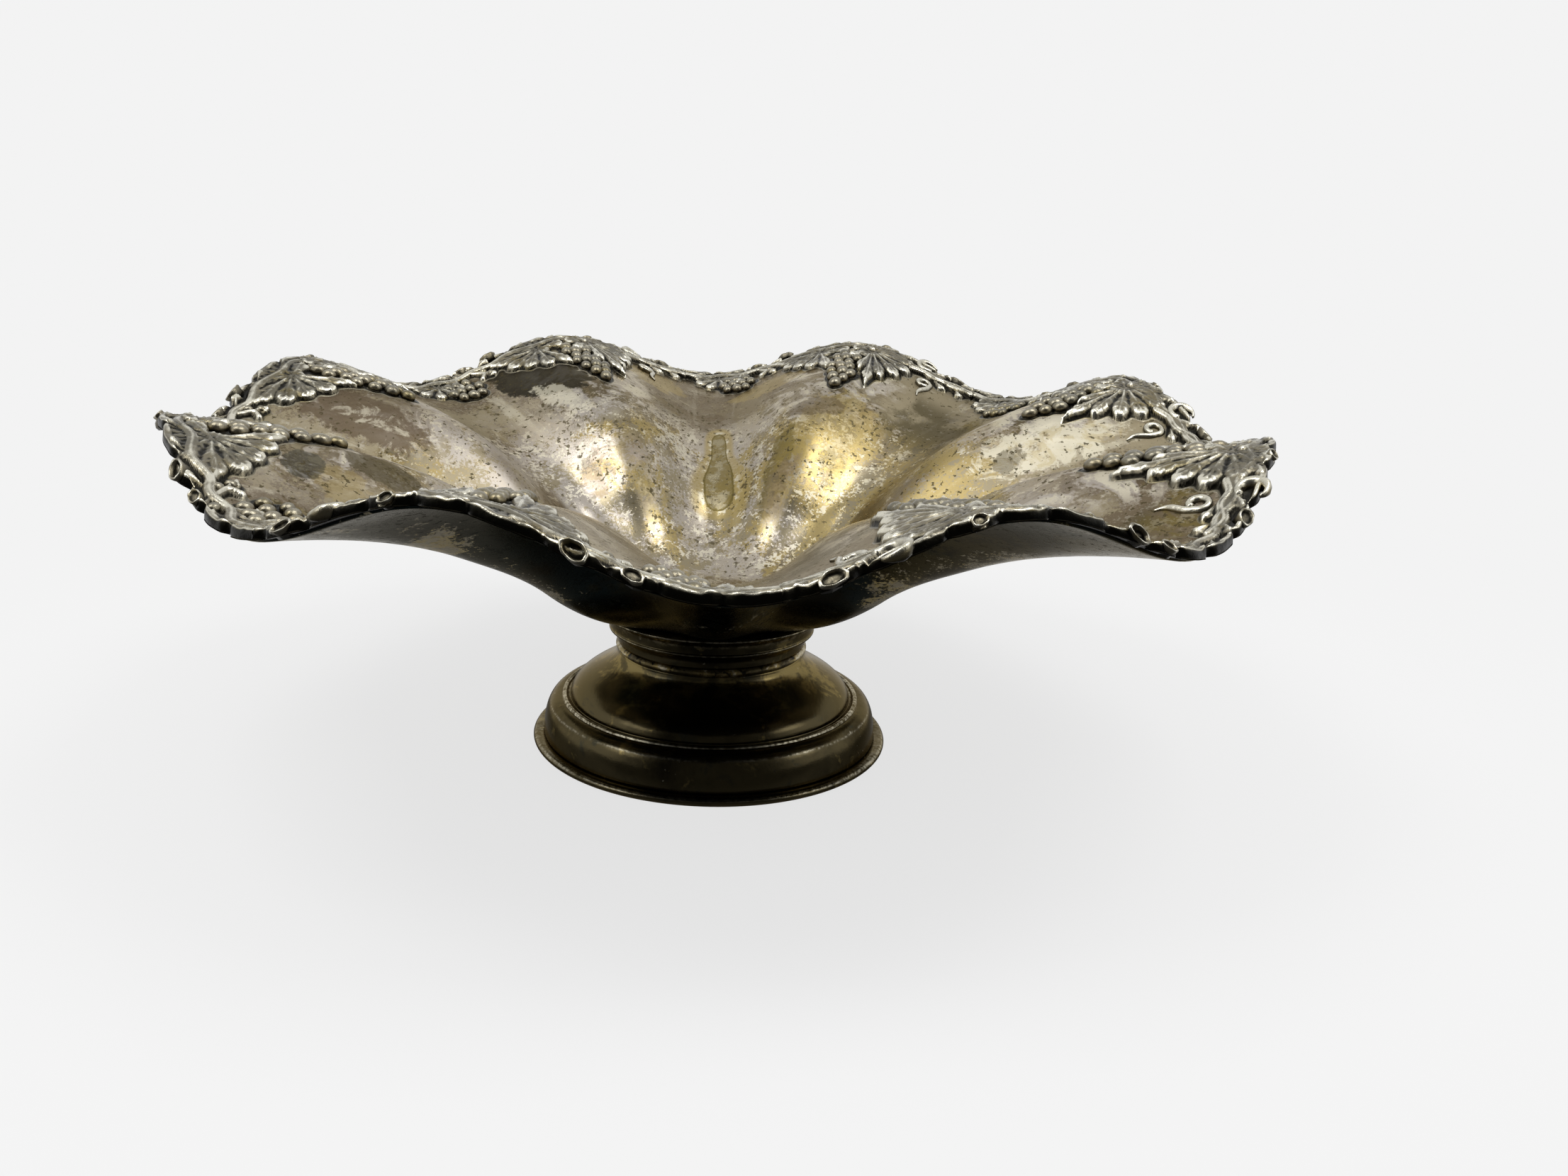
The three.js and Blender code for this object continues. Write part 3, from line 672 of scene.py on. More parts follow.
def stain_coats(g, colours, p):
    """Coats of the stains that have their own place, each broken up by one of three noises."""
    curds = [g.noise(85, 7, 0.68, shift=shift, distortion=1.8) + p.ragged * 0.35 for shift in CURD_SHIFTS]
    layers = []
    for number, (centre, half_length, half_width, turn, name, share, unbroken) in enumerate(STAINS):
        curd = curds[number % len(curds)]
        cover = (g.spot(centre, half_length, half_width, turn) + (p.swirl - 0.5) * 2).between(1.6, 0.3)
        broken = (cover * unbroken + (curd - 0.5) * 1.6).between(0.18, 0.4) * cover.between(0.02, 0.3)
        layers.append((getattr(colours, name), broken * share))
    return layers


def late_coats(g, colours, p):
    """Coats over the stains: the dark seams of the wall, the long drop behind and the freckles."""
    length_out = (p.inward - DROP_MIDDLE) / DROP_HALF_LENGTH
    half_width = DROP_HALF_WIDTH + DROP_WIDENING * length_out.between(-0.4, 0.4)
    sideways = (p.x - DROP_PLACE) / half_width
    drop = sideways * sideways + length_out**8 + p.ragged * 0.8 + (p.patches - 0.5)
    behind = p.y.between(*DROP_BEHIND)
    halo = drop.between(2.4, 1.5) * p.flecks.between(0.46, 0.54)
    return [
        (g.blend(colours.brown, colours.olive, p.patches.between(0.45, 0.55)), p.seam * 0.6),
        (colours.gold, drop.between(5.0, 2.5) * behind * 0.7),
        (colours.pale, halo * behind * 0.8),
        (colours.olive, drop.between(1.2, 1.0) * (1 - drop.between(0.95, 0.7) * 0.35) * behind),
        (colours.umber, p.freckles * 0.85),
    ]


def bowl_finish(colours):
    """Taupe and brown film above with gold stains and pale freckles in the well; olive and black below,
    partly tarnish and partly painted shade, with a painted reflection at the far ends.
    """
    g = Finish("tarnished_sheet", SHEET_TINT)
    p = sheet_patterns(g)
    inside = g.coats(
        colours.taupe, *film_coats(g, colours, p), *stain_coats(g, colours, p), *late_coats(g, colours, p)
    )
    # The far left and right of the underside are painted pale taupe: a painted reflection of the pale
    # surroundings.
    ends = (abs(p.x) + p.ragged * 0.03).between(*PALE_ENDS)
    sides = (abs(p.x) / p.radius).between(0.5, 0.72) * p.inward.within(*SIDES)
    bared = (p.patches * 0.6 + p.clouds * 0.5 + p.ragged * 0.8 + sides * 0.17).between(0.66, 0.71)
    # The dark underside is partly tarnish and partly painted shade.
    under = g.coats(
        colours.black,
        (colours.olive, (p.patches + p.ragged * 0.5 + p.x * 0.8).between(0.48, 0.58) * 0.3),
        (colours.blue, (p.clouds - p.x).between(0.42, 0.52) * 0.9),
        (colours.taupe, ends * (0.5 + 0.5 * (p.patches + p.ragged).between(0.46, 0.56))),
        (g.blend(colours.gold, colours.taupe, p.flecks.between(0.44, 0.56)), bared * 0.75),
    )
    base = g.blend(under, inside, p.upper)
    dull = abs(p.x).between(*DULL_ENDS) * p.upper
    rough = 0.15 + p.clouds * 0.14 + p.lace * 0.12 + p.freckles * 0.15 + p.film * 0.05
    rough = rough + dull * 0.27 + p.seam * 0.3
    height = p.grain * 0.2 + p.streaks * 0.25 + p.patches * 0.6 + p.lace * 0.15
    return g.close(base, rough, height, 0.12 * MM, 1 - 0.6 * bared * (1 - p.upper))


def border_finish(colours):
    """Cast relief: brown-black in the recesses, patina with painted shade; warm grey on the blades; bright
    on the high points, rubbed wear with painted highlights.
    """
    g = Finish("cast_relief")
    clouds = g.noise(45, 4, 0.6)
    grain = g.noise(900, 4, 0.65, shift=2.3)
    stains = g.noise(90, 4, 0.6, shift=5.7)
    # worn carries rubbed wear together with painted highlights and painted shade from the relief.
    worn = g.attribute("polish") + (clouds - 0.5) * 0.25 + (grain - 0.5) * 0.3
    blade = g.coats(
        colours.grey,
        (colours.taupe, clouds.between(0.4, 0.6) * 0.4),
        (colours.olive, stains.between(0.5, 0.66) * 0.5),
    )
    # Black in the recesses is patina with painted shade; silver on the high points is rubbed wear with
    # painted highlights.
    base = g.coats(
        colours.black,
        (blade, worn.between(0.02, 0.4)),
        (colours.silver_and_highlight, worn.between(0.5, 1.0) * 0.85),
    )
    rough = 0.36 - worn.between(0.3, 0.9) * 0.16
    return g.close(base, rough, grain * 0.6 + clouds, 0.2 * MM)


def foot_finish(colours):
    """Dark brown-olive tarnish, black in patches, with gold near the waist and pale worn edges. The
    darkness is partly tarnish and partly painted shade, and the ovolo and the wire carry painted highlight
    lines.
    """
    g = Finish("blackened_spinning", FOOT_TINT)
    _, _, z = g.axes()
    clouds = g.noise(26, 5, 0.62, shift=4.4)
    patches = g.noise(75, 6, 0.7, shift=9.3, distortion=0.5)
    grain = g.noise(800, 3, 0.6)
    specks = g.noise(520, 3, 0.6, shift=6.1)
    golden = patches + z.within(*SHOULDER) * 0.14 + specks * 0.25
    dusty = (specks * 0.6 + patches * 0.6).between(0.58, 0.68) * z.between(*UNDER_BOWL)
    # The dark base and black patches are partly tarnish and partly painted shade.
    base = g.coats(
        colours.umber,
        (colours.black, (clouds + patches * 0.3).between(0.58, 0.78) * 0.85),
        (colours.gold, golden.between(0.7, 0.8) * 0.4),
        (colours.blue, patches.between(0.42, 0.34) * 0.4),
        (colours.pale, (specks + clouds * 0.3).between(0.86, 0.9) * 0.45),
        (colours.taupe, dusty * 0.7),
        # Pale where the edge value is high: rubbed wear, with painted highlight lines on the ovolo's crest
        # and the wire.
        (colours.pale, g.attribute("edge") * (grain + patches).between(0.8, 1.25) * 0.8),
    )
    return g.close(base, 0.13 + patches * 0.16, grain * 0.3 + patches * 0.7, 0.1 * MM)


def bead_finish(colours):
    """Pitted solder bead, worn pale gold."""
    g = Finish("pitted_solder")
    pits = g.noise(420, 4, 0.7, shift=3.3)
    clouds = g.noise(60, 3, 0.6)
    base = g.coats(
        colours.umber,
        (colours.gold, clouds.between(0.4, 0.6)),
        (colours.pale, (clouds * 0.5 + pits * 0.5).between(0.52, 0.58) * 0.7),
        (colours.black, pits.between(0.46, 0.36)),
    )
    return g.close(base, 0.3 + pits * 0.25, pits, 0.4 * MM)


def sheet_section(sizes):
    """Control points of the sheet's upper face in section."""
    floor_height = BOWL_LOW.z + sizes.thickness
    wall_slope = math.tan(sizes.wall_angle)
    rim_slope = math.tan(sizes.rim_angle)
    wall_height = floor_height + sizes.wall_rise
    rim_height = floor_height + sizes.rim_rise
    heel_radius = sizes.floor_radius + sizes.heel_reach
    wall_radius = heel_radius + sizes.wall_rise / wall_slope
    shoulder_radius = (
        rim_height - rim_slope * sizes.rim_radius - wall_height + wall_slope * wall_radius
    ) / (wall_slope - rim_slope)
    shoulder_height = wall_height + wall_slope * (shoulder_radius - wall_radius)
    return {
        "Floor": (sizes.floor_radius, 0, floor_height),
        "Heel": (heel_radius, 0, floor_height),
        "Wall": (wall_radius, 0, wall_height),
        "Shoulder": (shoulder_radius, 0, shoulder_height),
        "Rim": (sizes.rim_radius, 0, rim_height),
    }


def named_sockets(kind, *names):
    """Names of a tree's inputs or outputs, all of one kind."""
    return [(name, f"NodeSocket{kind}") for name in names]


SECTION_STEPS = 160
RUN_STEPS = 400
SECTION_POINTS = ("Floor", "Heel", "Wall", "Shoulder", "Rim")
SECTION_CURVES = (SECTION_POINTS[:3], SECTION_POINTS[2:])
SHEET_INPUTS = [
    *named_sockets("Vector", *SECTION_POINTS),
    *named_sockets("Float", "Flutes", "Flute depth", "Flute full radius"),
]


def sheet_values(sizes):
    """The fluted sheet's values by the names of the tree's inputs."""
    values = sheet_section(sizes)
    values["Flutes"] = float(sizes.flutes)
    values["Flute depth"] = sizes.flute_depth
    values["Flute full radius"] = sizes.flute_full_radius
    return values


def fluted_sheet():
    """Node group: a point over the fluted sheet from its turn, its distance inward and its lift."""
    inputs = [*named_sockets("Float", "Turn", "Inward", "Lift"), *SHEET_INPUTS]
    g = GeometryGraph("Fluted sheet", inputs, named_sockets("Vector", "Point"))
    curves = [
        g.node(
            "GeometryNodeCurveQuadraticBezier",
            None,
            {"Resolution": SECTION_STEPS, "Start": g.input(a), "Middle": g.input(b), "End": g.input(c)},
        )
        for a, b, c in SECTION_CURVES
    ]
    section = g.join(*reversed(curves))
    run = g.node("GeometryNodeCurveLength", None, {"Curve": section})
    along = run - g.input("Inward")
    held = along.at_least(0).at_most(run)
    sample = g.node(
        "GeometryNodeSampleCurve",
        {"mode": "LENGTH", "use_all_curves": True},
        {"Curves": section, "Length": held},
        output="Position",
    )
    radius, _, height = g.split(sample)
    out, _, up = g.split(sample.output("Tangent"))
    past = along - held
    radius = radius + out * past
    height = height + up * past
    floor_radius, _, _ = g.split(g.input("Floor"))
    turn = g.input("Turn")
    depth = g.input("Flute depth") * radius.between(floor_radius, g.input("Flute full radius"))
    rise = g.input("Lift") - depth * (g.input("Flutes") * turn).cosine()
    radius = radius - up * rise
    height = height + out * rise
    return g.finish(Point=g.combine(radius * turn.sine(), 0 - radius * turn.cosine(), height))


def over_sheet(g, sheet, turn, inward, lift):
    """Adds the fluted sheet group to a tree and gives its point."""
    sockets = {"Turn": turn, "Inward": inward, "Lift": lift}
    sockets.update({name: g.input(name) for name, _ in SHEET_INPUTS})
    return g.node("GeometryNodeGroup", {"node_tree": sheet}, sockets)


# How near points are made one, and the steps over the sheet that find which way it faces.
BOWL_WELD = 0.01 * MM
CASTING_WELD = 0.002 * MM
STEP_OUTWARD = 0.5 * MM
STEP_ROUND = 0.004


def bowl_tree(sheet, material):
    """The fluted bowl: rows out over the upper face, round the edge and back underneath."""
    inputs = [
        *named_sockets("Float", "Run", "Thickness"),
        *named_sockets("Int", "Columns", "Rows"),
        *SHEET_INPUTS,
    ]
    g = GeometryGraph("Fluted bowl", inputs, named_sockets("Geometry", "Geometry"))
    rows = g.input("Rows")
    last_row = 2 * rows + 2
    size = {"Size X": 2 * math.pi, "Size Y": 1.0}
    size.update({"Vertices X": g.input("Columns") + 1, "Vertices Y": last_row + 1})
    grid = g.node("GeometryNodeMeshGrid", None, size)
    turn, share, _ = g.split(g.place())
    row = (share + 0.5) * last_row
    out = row.at_most(last_row - row) / rows
    half_thickness = g.input("Thickness") / 2
    floor_radius, _, _ = g.split(g.input("Floor"))
    inward = ((1 - out) * (g.input("Run") + floor_radius)).at_least(0 - half_thickness)
    lift = 0 - half_thickness * (row - rows).at_least(0).at_most(2)
    grid = g.store(grid, "inward", inward)
    grid = g.store(grid, "wave", (g.input("Flutes") * turn).cosine())
    grid = g.store(grid, "upper", 1 - (row - rows).at_least(0).at_most(1))
    closed = g.welded(g.moved(grid, over_sheet(g, sheet, turn, inward, lift)), BOWL_WELD)
    outward = g.node("GeometryNodeFlipFaces", None, {"Mesh": closed})
    return g.finish(Geometry=g.dressed(outward, material))


def grape_ball(g):
    """One grape of radius 1, flat below, painted lighter on top and darker on its sides as light and shade.
    """
    ball = g.node(
        "GeometryNodeMeshUVSphere", None, {"Segments": GRAPE_SEGMENTS, "Rings": GRAPE_RINGS, "Radius": 1.0}
    )
    x, y, z = g.split(g.place())
    # Painted light and shade: the top of each grape lighter, its sides darker.
    ball = g.store(ball, "polish", 0.3 + 0.32 * z.between(-0.2, 0.95))
    return g.moved(ball, g.combine(x, y, z.at_least(GRAPE_BASE)))


def standing(g, outward, beside):
    """The turn that stands a shape up on the sheet, squared to the rim."""
    normal = g.vector("CROSS_PRODUCT", outward, beside)
    upright = g.node("FunctionNodeAlignRotationToVector", {"axis": "Z"}, {"Vector": normal})
    return g.node(
        "FunctionNodeAlignRotationToVector",
        {"axis": "X", "pivot_axis": "Z"},
        {"Rotation": upright, "Vector": beside},
    )


def grapes_on(g, points, radius):
    """A grape on each point, a little turned by chance."""
    limits = {2: -GRAPE_TWIST, 3: GRAPE_TWIST, "Seed": GRAPE_TWIST_SEED}
    twist = g.node("FunctionNodeRandomValue", {"data_type": "FLOAT"}, limits, output=1)
    spin = g.node("FunctionNodeAxisAngleToRotation", None, {"Axis": (0, 0, 1), "Angle": twist})
    turn = g.node(
        "FunctionNodeRotateRotation",
        {"rotation_space": "LOCAL"},
        {"Rotation": g.stored("upright", "QUATERNION"), "Rotate By": spin},
    )
    oval = g.combine(*(radius * share for share in GRAPE_OVAL))
    grapes = g.node(
        "GeometryNodeInstanceOnPoints",
        None,
        {"Points": points, "Instance": grape_ball(g), "Rotation": turn, "Scale": oval},
    )
    return g.node("GeometryNodeRealizeInstances", None, {"Geometry": grapes})


def casting_tree(sheet, material):
    """Wraps one flat casting over the rim, with a grape on each of its loose points."""
    inputs = [
        *named_sockets("Geometry", "Geometry"),
        *named_sockets("Float", "Start", "Turn per metre"),
        *SHEET_INPUTS,
    ]
    g = GeometryGraph("Wrapped casting", inputs, named_sockets("Geometry", "Geometry"))
    along, inward, lift = g.split(g.place())
    turn = g.input("Start") - along * g.input("Turn per metre")
    place = over_sheet(g, sheet, turn, inward, lift)
    outward = g.vector("SUBTRACT", over_sheet(g, sheet, turn, inward - STEP_OUTWARD, lift), place)
    beside = g.vector("SUBTRACT", over_sheet(g, sheet, turn + STEP_ROUND, inward, lift), place)
    radius = g.stored("grape")
    seats = g.node(
        "GeometryNodeSeparateGeometry",
        {"domain": "POINT"},
        {"Geometry": g.input("Geometry"), "Selection": radius > 0},
    )
    relief = g.moved(seats.output("Inverted"), place)
    points = g.node("GeometryNodeMeshToPoints", None, {"Mesh": seats})
    points = g.store(points, "upright", standing(g, outward, beside), "QUATERNION")
    grapes = grapes_on(g, g.moved(points, place), radius)
    closed = g.welded(g.join(grapes, relief), CASTING_WELD)
    return g.finish(Geometry=g.dressed(closed, material))


def made_by_nodes(name, mesh, tree, values):
    """A plain mesh object from a Geometry Nodes tree with its inputs set."""
    piece = bpy.data.objects.new(name, mesh)
    bpy.context.scene.collection.objects.link(piece)
    modifier = piece.modifiers.new(name, "NODES")
    modifier.node_group = tree
    for socket in tree.interface.items_tree:
        if socket.in_out == "INPUT" and socket.name in values:
            modifier[socket.identifier] = values[socket.name]
    depsgraph = bpy.context.evaluated_depsgraph_get()
    made = bpy.data.meshes.new_from_object(
        piece.evaluated_get(depsgraph), preserve_all_data_layers=True, depsgraph=depsgraph
    )
    piece.modifiers.clear()
    piece.data = made
    made.name = name
    return piece


def seated(piece, node):
    """The piece rides on the one body and stands for its CAD node, which is hidden."""
    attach(piece, "root")
    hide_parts(node)


PATH_STEPS = 10
TINY = 1e-12


def smooth_path(points):
    """A smooth line through the points."""
    points = np.array(points, float)
    before = np.vstack([2 * points[0] - points[1], points, 2 * points[-1] - points[-2]])
    share = np.linspace(0, 1, PATH_STEPS, endpoint=False)[:, None]
    spans = []
    for a, b, c, d in zip(before, before[1:], before[2:], before[3:]):
        bend = 2 * a - 5 * b + 4 * c - d
        twist = 3 * b - a - 3 * c + d
        spans.append(b + 0.5 * share * (c - a + share * (bend + share * twist)))
    return np.vstack([*spans, points[-1:]])


def away_from(path, along, inward):
    """Distance of every point of the relief from a line."""
    nearest = np.full(along.shape, np.inf)
    for (a, b), (c, d) in zip(path, path[1:]):
        run, rise = c - a, d - b
        share = ((along - a) * run + (inward - b) * rise) / (run * run + rise * rise + TINY)
        share = np.clip(share, 0, 1)
        nearest = np.minimum(nearest, np.hypot(along - a - share * run, inward - b - share * rise))
    return nearest


# A leaf's lobes: where along its length a lobe is widest, how much of its width it keeps, the size of the
# body between the lobes, how far they run together and how far their edges roll.
BELLY = 0.72
LOBE_SHARE = 0.78
BODY_SHARE = 0.34
LOBE_MELT = 0.3
LOBE_ROLL = 2.1

# Its veins: height and width of the middle one and of the ones beside it, with their distance and slant.
MIDRIB_RISE = 0.5
MIDRIB_WIDTH = 0.42
VEIN_RISE = 0.28
VEIN_WIDTH = 0.4
VEIN_PITCH = 3.3
VEIN_START = 1.6
VEIN_SLANT = 0.8


def hump(values):
    """A smooth hump, 1 at 0."""
    return np.exp(-(values**2))


def leaf_height(leaf, along, inward):
    """Height of a leaf: lobes round a small body, with rolled edges, a dished blade and raised veins."""
    heart = leaf["heart"]
    x = along - heart[0]
    y = inward - heart[1]
    rise = leaf["rise"]
    reaches = []
    melted = np.zeros(along.shape)
    nearest = np.full(along.shape, OUTSIDE)
    swell = np.zeros(along.shape)
    veins = np.zeros(along.shape)
    for tip_along, tip_inward, width, roundness in leaf["lobes"]:
        run = tip_along - heart[0]
        depth = tip_inward - heart[1]
        reach = math.hypot(run, depth)
        reaches.append(reach)
        share = (x * run + y * depth) / reach**2
        across = (y * run - x * depth) / reach
        neck = 0.2 + 0.8 * np.clip(share / BELLY, 0, 1) ** 1.3
        tip = np.clip((share - BELLY) / (1 - BELLY), 0, 1)
        end = roundness * np.sqrt(1 - tip**2) + (1 - roundness) * (1 - tip)
        half = LOBE_SHARE * width / 2 * np.where(share < BELLY, neck, end) + 1e-3
        inside = np.minimum(half - abs(across), (1 - share) * reach)
        inside = np.where((share > -0.1) & (share < 1), np.maximum(inside, 6 * OUTSIDE), 6 * OUTSIDE)
        melted += np.exp(inside / LOBE_MELT)
        nearer = inside > nearest
        nearest = np.where(nearer, inside, nearest)
        swell = np.where(nearer, np.clip(share, 0, 1) ** 2, swell)
        midrib = MIDRIB_RISE * hump(across / MIDRIB_WIDTH) * ((share > 0) & (share < 0.9))
        stripe = np.mod(share * reach - VEIN_SLANT * abs(across), VEIN_PITCH) - VEIN_START
        veins = np.where(nearer, VEIN_RISE * hump(stripe / VEIN_WIDTH), veins)
        veins = np.maximum(veins, np.where(inside > 0, midrib, 0))
    if len(reaches) > 1:
        body = BODY_SHARE * sum(reaches) / len(reaches) - np.hypot(x, y)
        melted += np.exp(np.maximum(body, 6 * OUTSIDE) / LOBE_MELT)
    edge = LOBE_MELT * np.log(melted + 1e-9)
    rolled = np.sqrt(1 - (1 - np.clip(edge / LOBE_ROLL, 0, 1)) ** 2)
    dish = 0.25 * np.clip((edge - 1.5) / 2.0, 0, 1)
    blade = rise * (0.1 + 0.9 * rolled - dish + 0.25 * swell) + veins
    return np.where(edge > 0, blade, OUTSIDE)


def sprig_height(sprig, along, inward):
    """Height of one small leaf of a single lobe."""
    root, tip, width, rise = sprig
    lobe = {"heart": root, "rise": 0.84 * rise, "lobes": ((*tip, width / LOBE_SHARE, 0.5),)}
    return leaf_height(lobe, along, inward)


def bunch_seats(bunch, chance):
    """Places of the grapes of a bunch, in staggered rows that narrow to its tip."""
    first, last = np.array(bunch["first"], float), np.array(bunch["last"], float)
    pitch = bunch["pitch"]
    rows = round((last[1] - first[1]) / (1.2 * pitch))
    seats = []
    for row in range(rows + 1):
        share = row / rows
        half = bunch["half_width"] * (1 - share**1.8) ** 0.8 * (0.8 + 0.2 * min(1, 3 * share))
        middle = first + share * (last - first)
        slots = np.arange(-4, 5) + 0.5 * (row % 2)
        for slot in slots[abs(slots) * pitch <= half + 0.3]:
            place = middle + (slot * pitch, 0) + chance.uniform(-GRAPE_SCATTER, GRAPE_SCATTER, 2)
            seats.append((*place, bunch["radius"] * chance.uniform(0.86, 1.08)))
    return seats


def grape_seats():
    """Place and radius of every grape of one casting that no leaf covers."""
    chance = np.random.default_rng(GRAPE_SEED)
    seats = [seat for bunch in BUNCHES for seat in bunch_seats(bunch, chance)]
    seats = np.array([*seats, *LOOSE_GRAPES])
    covered = np.max([leaf_height(leaf, seats[:, 0], seats[:, 1]) for leaf in LEAVES[:2]], axis=0)
    return seats[covered < 0]


def blurred(field, cells):
    """The field averaged over a square of cells, three times over."""
    for _ in range(3):
        for axis in (0, 1):
            padding = [(cells, cells) if axis == k else (0, 0) for k in (0, 1)]
            summed = np.cumsum(np.pad(field, padding, mode="edge"), axis=axis)
            summed = np.insert(summed, 0, 0, axis=axis)
            size = 2 * cells + 1
            high = np.take(summed, range(size, summed.shape[axis]), axis=axis)
            low = np.take(summed, range(summed.shape[axis] - size), axis=axis)
            field = (high - low) / size
    return field


def edge_wave(along):
    """How far the outer edge swells out past its even overhang, in millimetres."""
    return sum(reach * hump((along - place) / spread) for place, reach, spread in EDGE_SWELLS)


def smooth_step(values, low, high):
    """Rises smoothly from 0 at low to 1 at high."""
    share = np.clip((values - low) / (high - low), 0, 1)
    return share * share * (3 - 2 * share)


def branch_height(branch, along, inward):
    """Height of one branch with its grooved bark."""
    path = np.array(branch["path"], float)
    if branch.get("round_the_rim"):
        path = np.vstack([path[-2:] - (REPEAT, 0), path, path[:2] + (REPEAT, 0)])
    away = away_from(smooth_path(path), along, inward)
    radius = branch["radius"]
    bark = branch["bark"] * np.cos(away * BARK_GROOVES)
    tube = BRANCH_LIFT + np.sqrt(np.clip(radius**2 - away**2, 0, None)) + bark
    return np.where(away < radius, tube, np.maximum(0.5 * (radius - away), OUTSIDE))


def cut_back(height, along, inward):
    """The height with room left before the cut ends."""
    for cut in CUT_ENDS:
        tilt = math.radians(cut["tilt"])
        behind = CUT_END_RISE + ((inward - cut["place"][1]) * math.cos(tilt) - 1.0) / math.sin(tilt)
        near = abs(along - cut["place"][0]) < cut["radius"] * cut["stretch"] * 0.9
        height = np.where(near, np.minimum(height, np.maximum(behind, 0.1)), height)
    return height


def grape_bed(along, inward):
    """Height of the low mounds that the grapes lie on."""
    bed = np.full(along.shape, OUTSIDE)
    for place, distance, radius in grape_seats():
        fall = 1 - np.hypot(along - place, inward - distance) ** 2 / (radius * 1.5) ** 2
        bed = np.maximum(bed, MOUND * fall)
    return bed


def relief_height(along, inward, edge_rise):
    """Height of one casting over the sheet and how bright each point is made: rubbed wear with painted
    highlights and painted shade.
    """
    chance = np.random.default_rng(RELIEF_SEED)

    def lumps(cells, strength):
        return blurred(chance.normal(size=along.shape), cells) * strength

    swells = lumps(*SWELLS)
    chips = lumps(*CHIPS)
    ragged = lumps(*RAGGED_LIP)[:, :1]
    lip = (edge_rise - BAND_RISE + 0.4 * ragged) * smooth_step(-inward, *LIP)
    band = BAND_RISE + lip + 0.3 * swells + 0.2 * chips - np.clip(inward - 0.2, 0, None) ** 2 * 0.4
    height = np.maximum(band, OUTSIDE)
    for branch in BRANCHES:
        height = np.maximum(height, branch_height(branch, along, inward))
    crumple = lumps(*CRUMPLE)
    for leaf in LEAVES:
        blade = leaf_height(leaf, along, inward)
        height = np.maximum(height, np.where(blade > 0, blade + 0.45 * crumple, OUTSIDE))
    for sprig in SPRIGS:
        height = np.maximum(height, sprig_height(sprig, along, inward))
    height = cut_back(height, along, inward)
    bed = grape_bed(along, inward)
    painted_shade_between_grapes = (bed > height) & (bed > 0)
    height = np.maximum(height, bed)
    shown = height > 0
    solder = blurred(shown.astype(float), 2)
    stipple = lumps(*STIPPLE)
    height = np.where(shown, height + 0.1 * stipple, height)
    height = np.maximum(height, np.where(shown, OUTSIDE, 0.9 * (solder - 0.2)))
    flat = np.maximum(height, 0)
    broad = flat - blurred(flat, 6)
    fine = flat - blurred(flat, 2)
    slope = np.hypot(*np.gradient(flat, inward[0, 1] - inward[0, 0]))
    # Brightness: high points and rolled edges lighter, a painted highlight with rubbed wear; recesses
    # darker, painted shade with patina; steep walls and the gaps between grapes darkened as painted shade.
    polish = 0.42 + np.where(broad > 0, 0.25, 0.6) * broad + 0.9 * fine + 0.2 * stipple
    polish = polish - 0.4 * np.clip(slope - 0.8, 0, 1.2) - 0.3 * painted_shade_between_grapes
    # The lip at the outer edge is made bright: a painted highlight with rubbed wear.
    polish = polish + 0.3 * smooth_step(-inward, *BRIGHT_LIP) * (0.4 + 0.6 * crumple)
    # Round the relief the sheet is painted dark right at its foot as shade, and pale beyond.
    return height, np.where(shown, np.clip(polish, 0, 1), np.clip(1.3 - 3.2 * solder, 0, 0.75))


class FlatMesh:
    """Points, faces and named values of a casting before it is wrapped, in millimetres."""

    def __init__(self):
        self.points = []
        self.faces = []
        self.polish = []
        self.grape = []
        self.count = 0

    def add(self, points, faces, polish, grape=0.0):
        """Adds a shape whose faces are lists of the numbers of its own points."""
        points = np.asarray(points, float).reshape(-1, 3)
        self.points.append(points)
        self.polish.append(np.broadcast_to(polish, len(points)))
        self.grape.append(np.broadcast_to(grape, len(points)))
        self.faces.extend([self.count + i for i in face] for face in faces)
        self.count += len(points)

    def mesh(self, name):
        made = bpy.data.meshes.new(name)
        made.from_pydata((np.vstack(self.points) * MM).tolist(), [], self.faces)
        for label, parts, scale in (("polish", self.polish, 1), ("grape", self.grape, MM)):
            values = (np.concatenate(parts) * scale).astype(np.float32)
            made.attributes.new(label, "FLOAT", "POINT").data.foreach_set("value", values)
        return made


def slab_faces(kept):
    """Faces of a slab over the kept cells of a grid: its top, its bottom and its open sides."""
    rows, columns = kept.shape
    size = (rows + 1) * (columns + 1)
    number = np.arange(size).reshape(rows + 1, columns + 1)
    a, b, c, d = number[:-1, :-1], number[1:, :-1], number[1:, 1:], number[:-1, 1:]
    faces = [np.stack([a, b, c, d], -1)[kept], np.stack([a, d, c, b], -1)[kept] + size]
    framed = np.pad(kept, 1)
    for shift, first, second in (((0, 1), a, b), ((-1, 0), b, c), ((0, -1), c, d), ((1, 0), d, a)):
        open_side = kept & ~np.roll(framed, shift, (0, 1))[1:-1, 1:-1]
        one, two = first[open_side], second[open_side]
        faces.append(np.stack([two, one, one + size, two + size], -1))
    return np.vstack(faces)


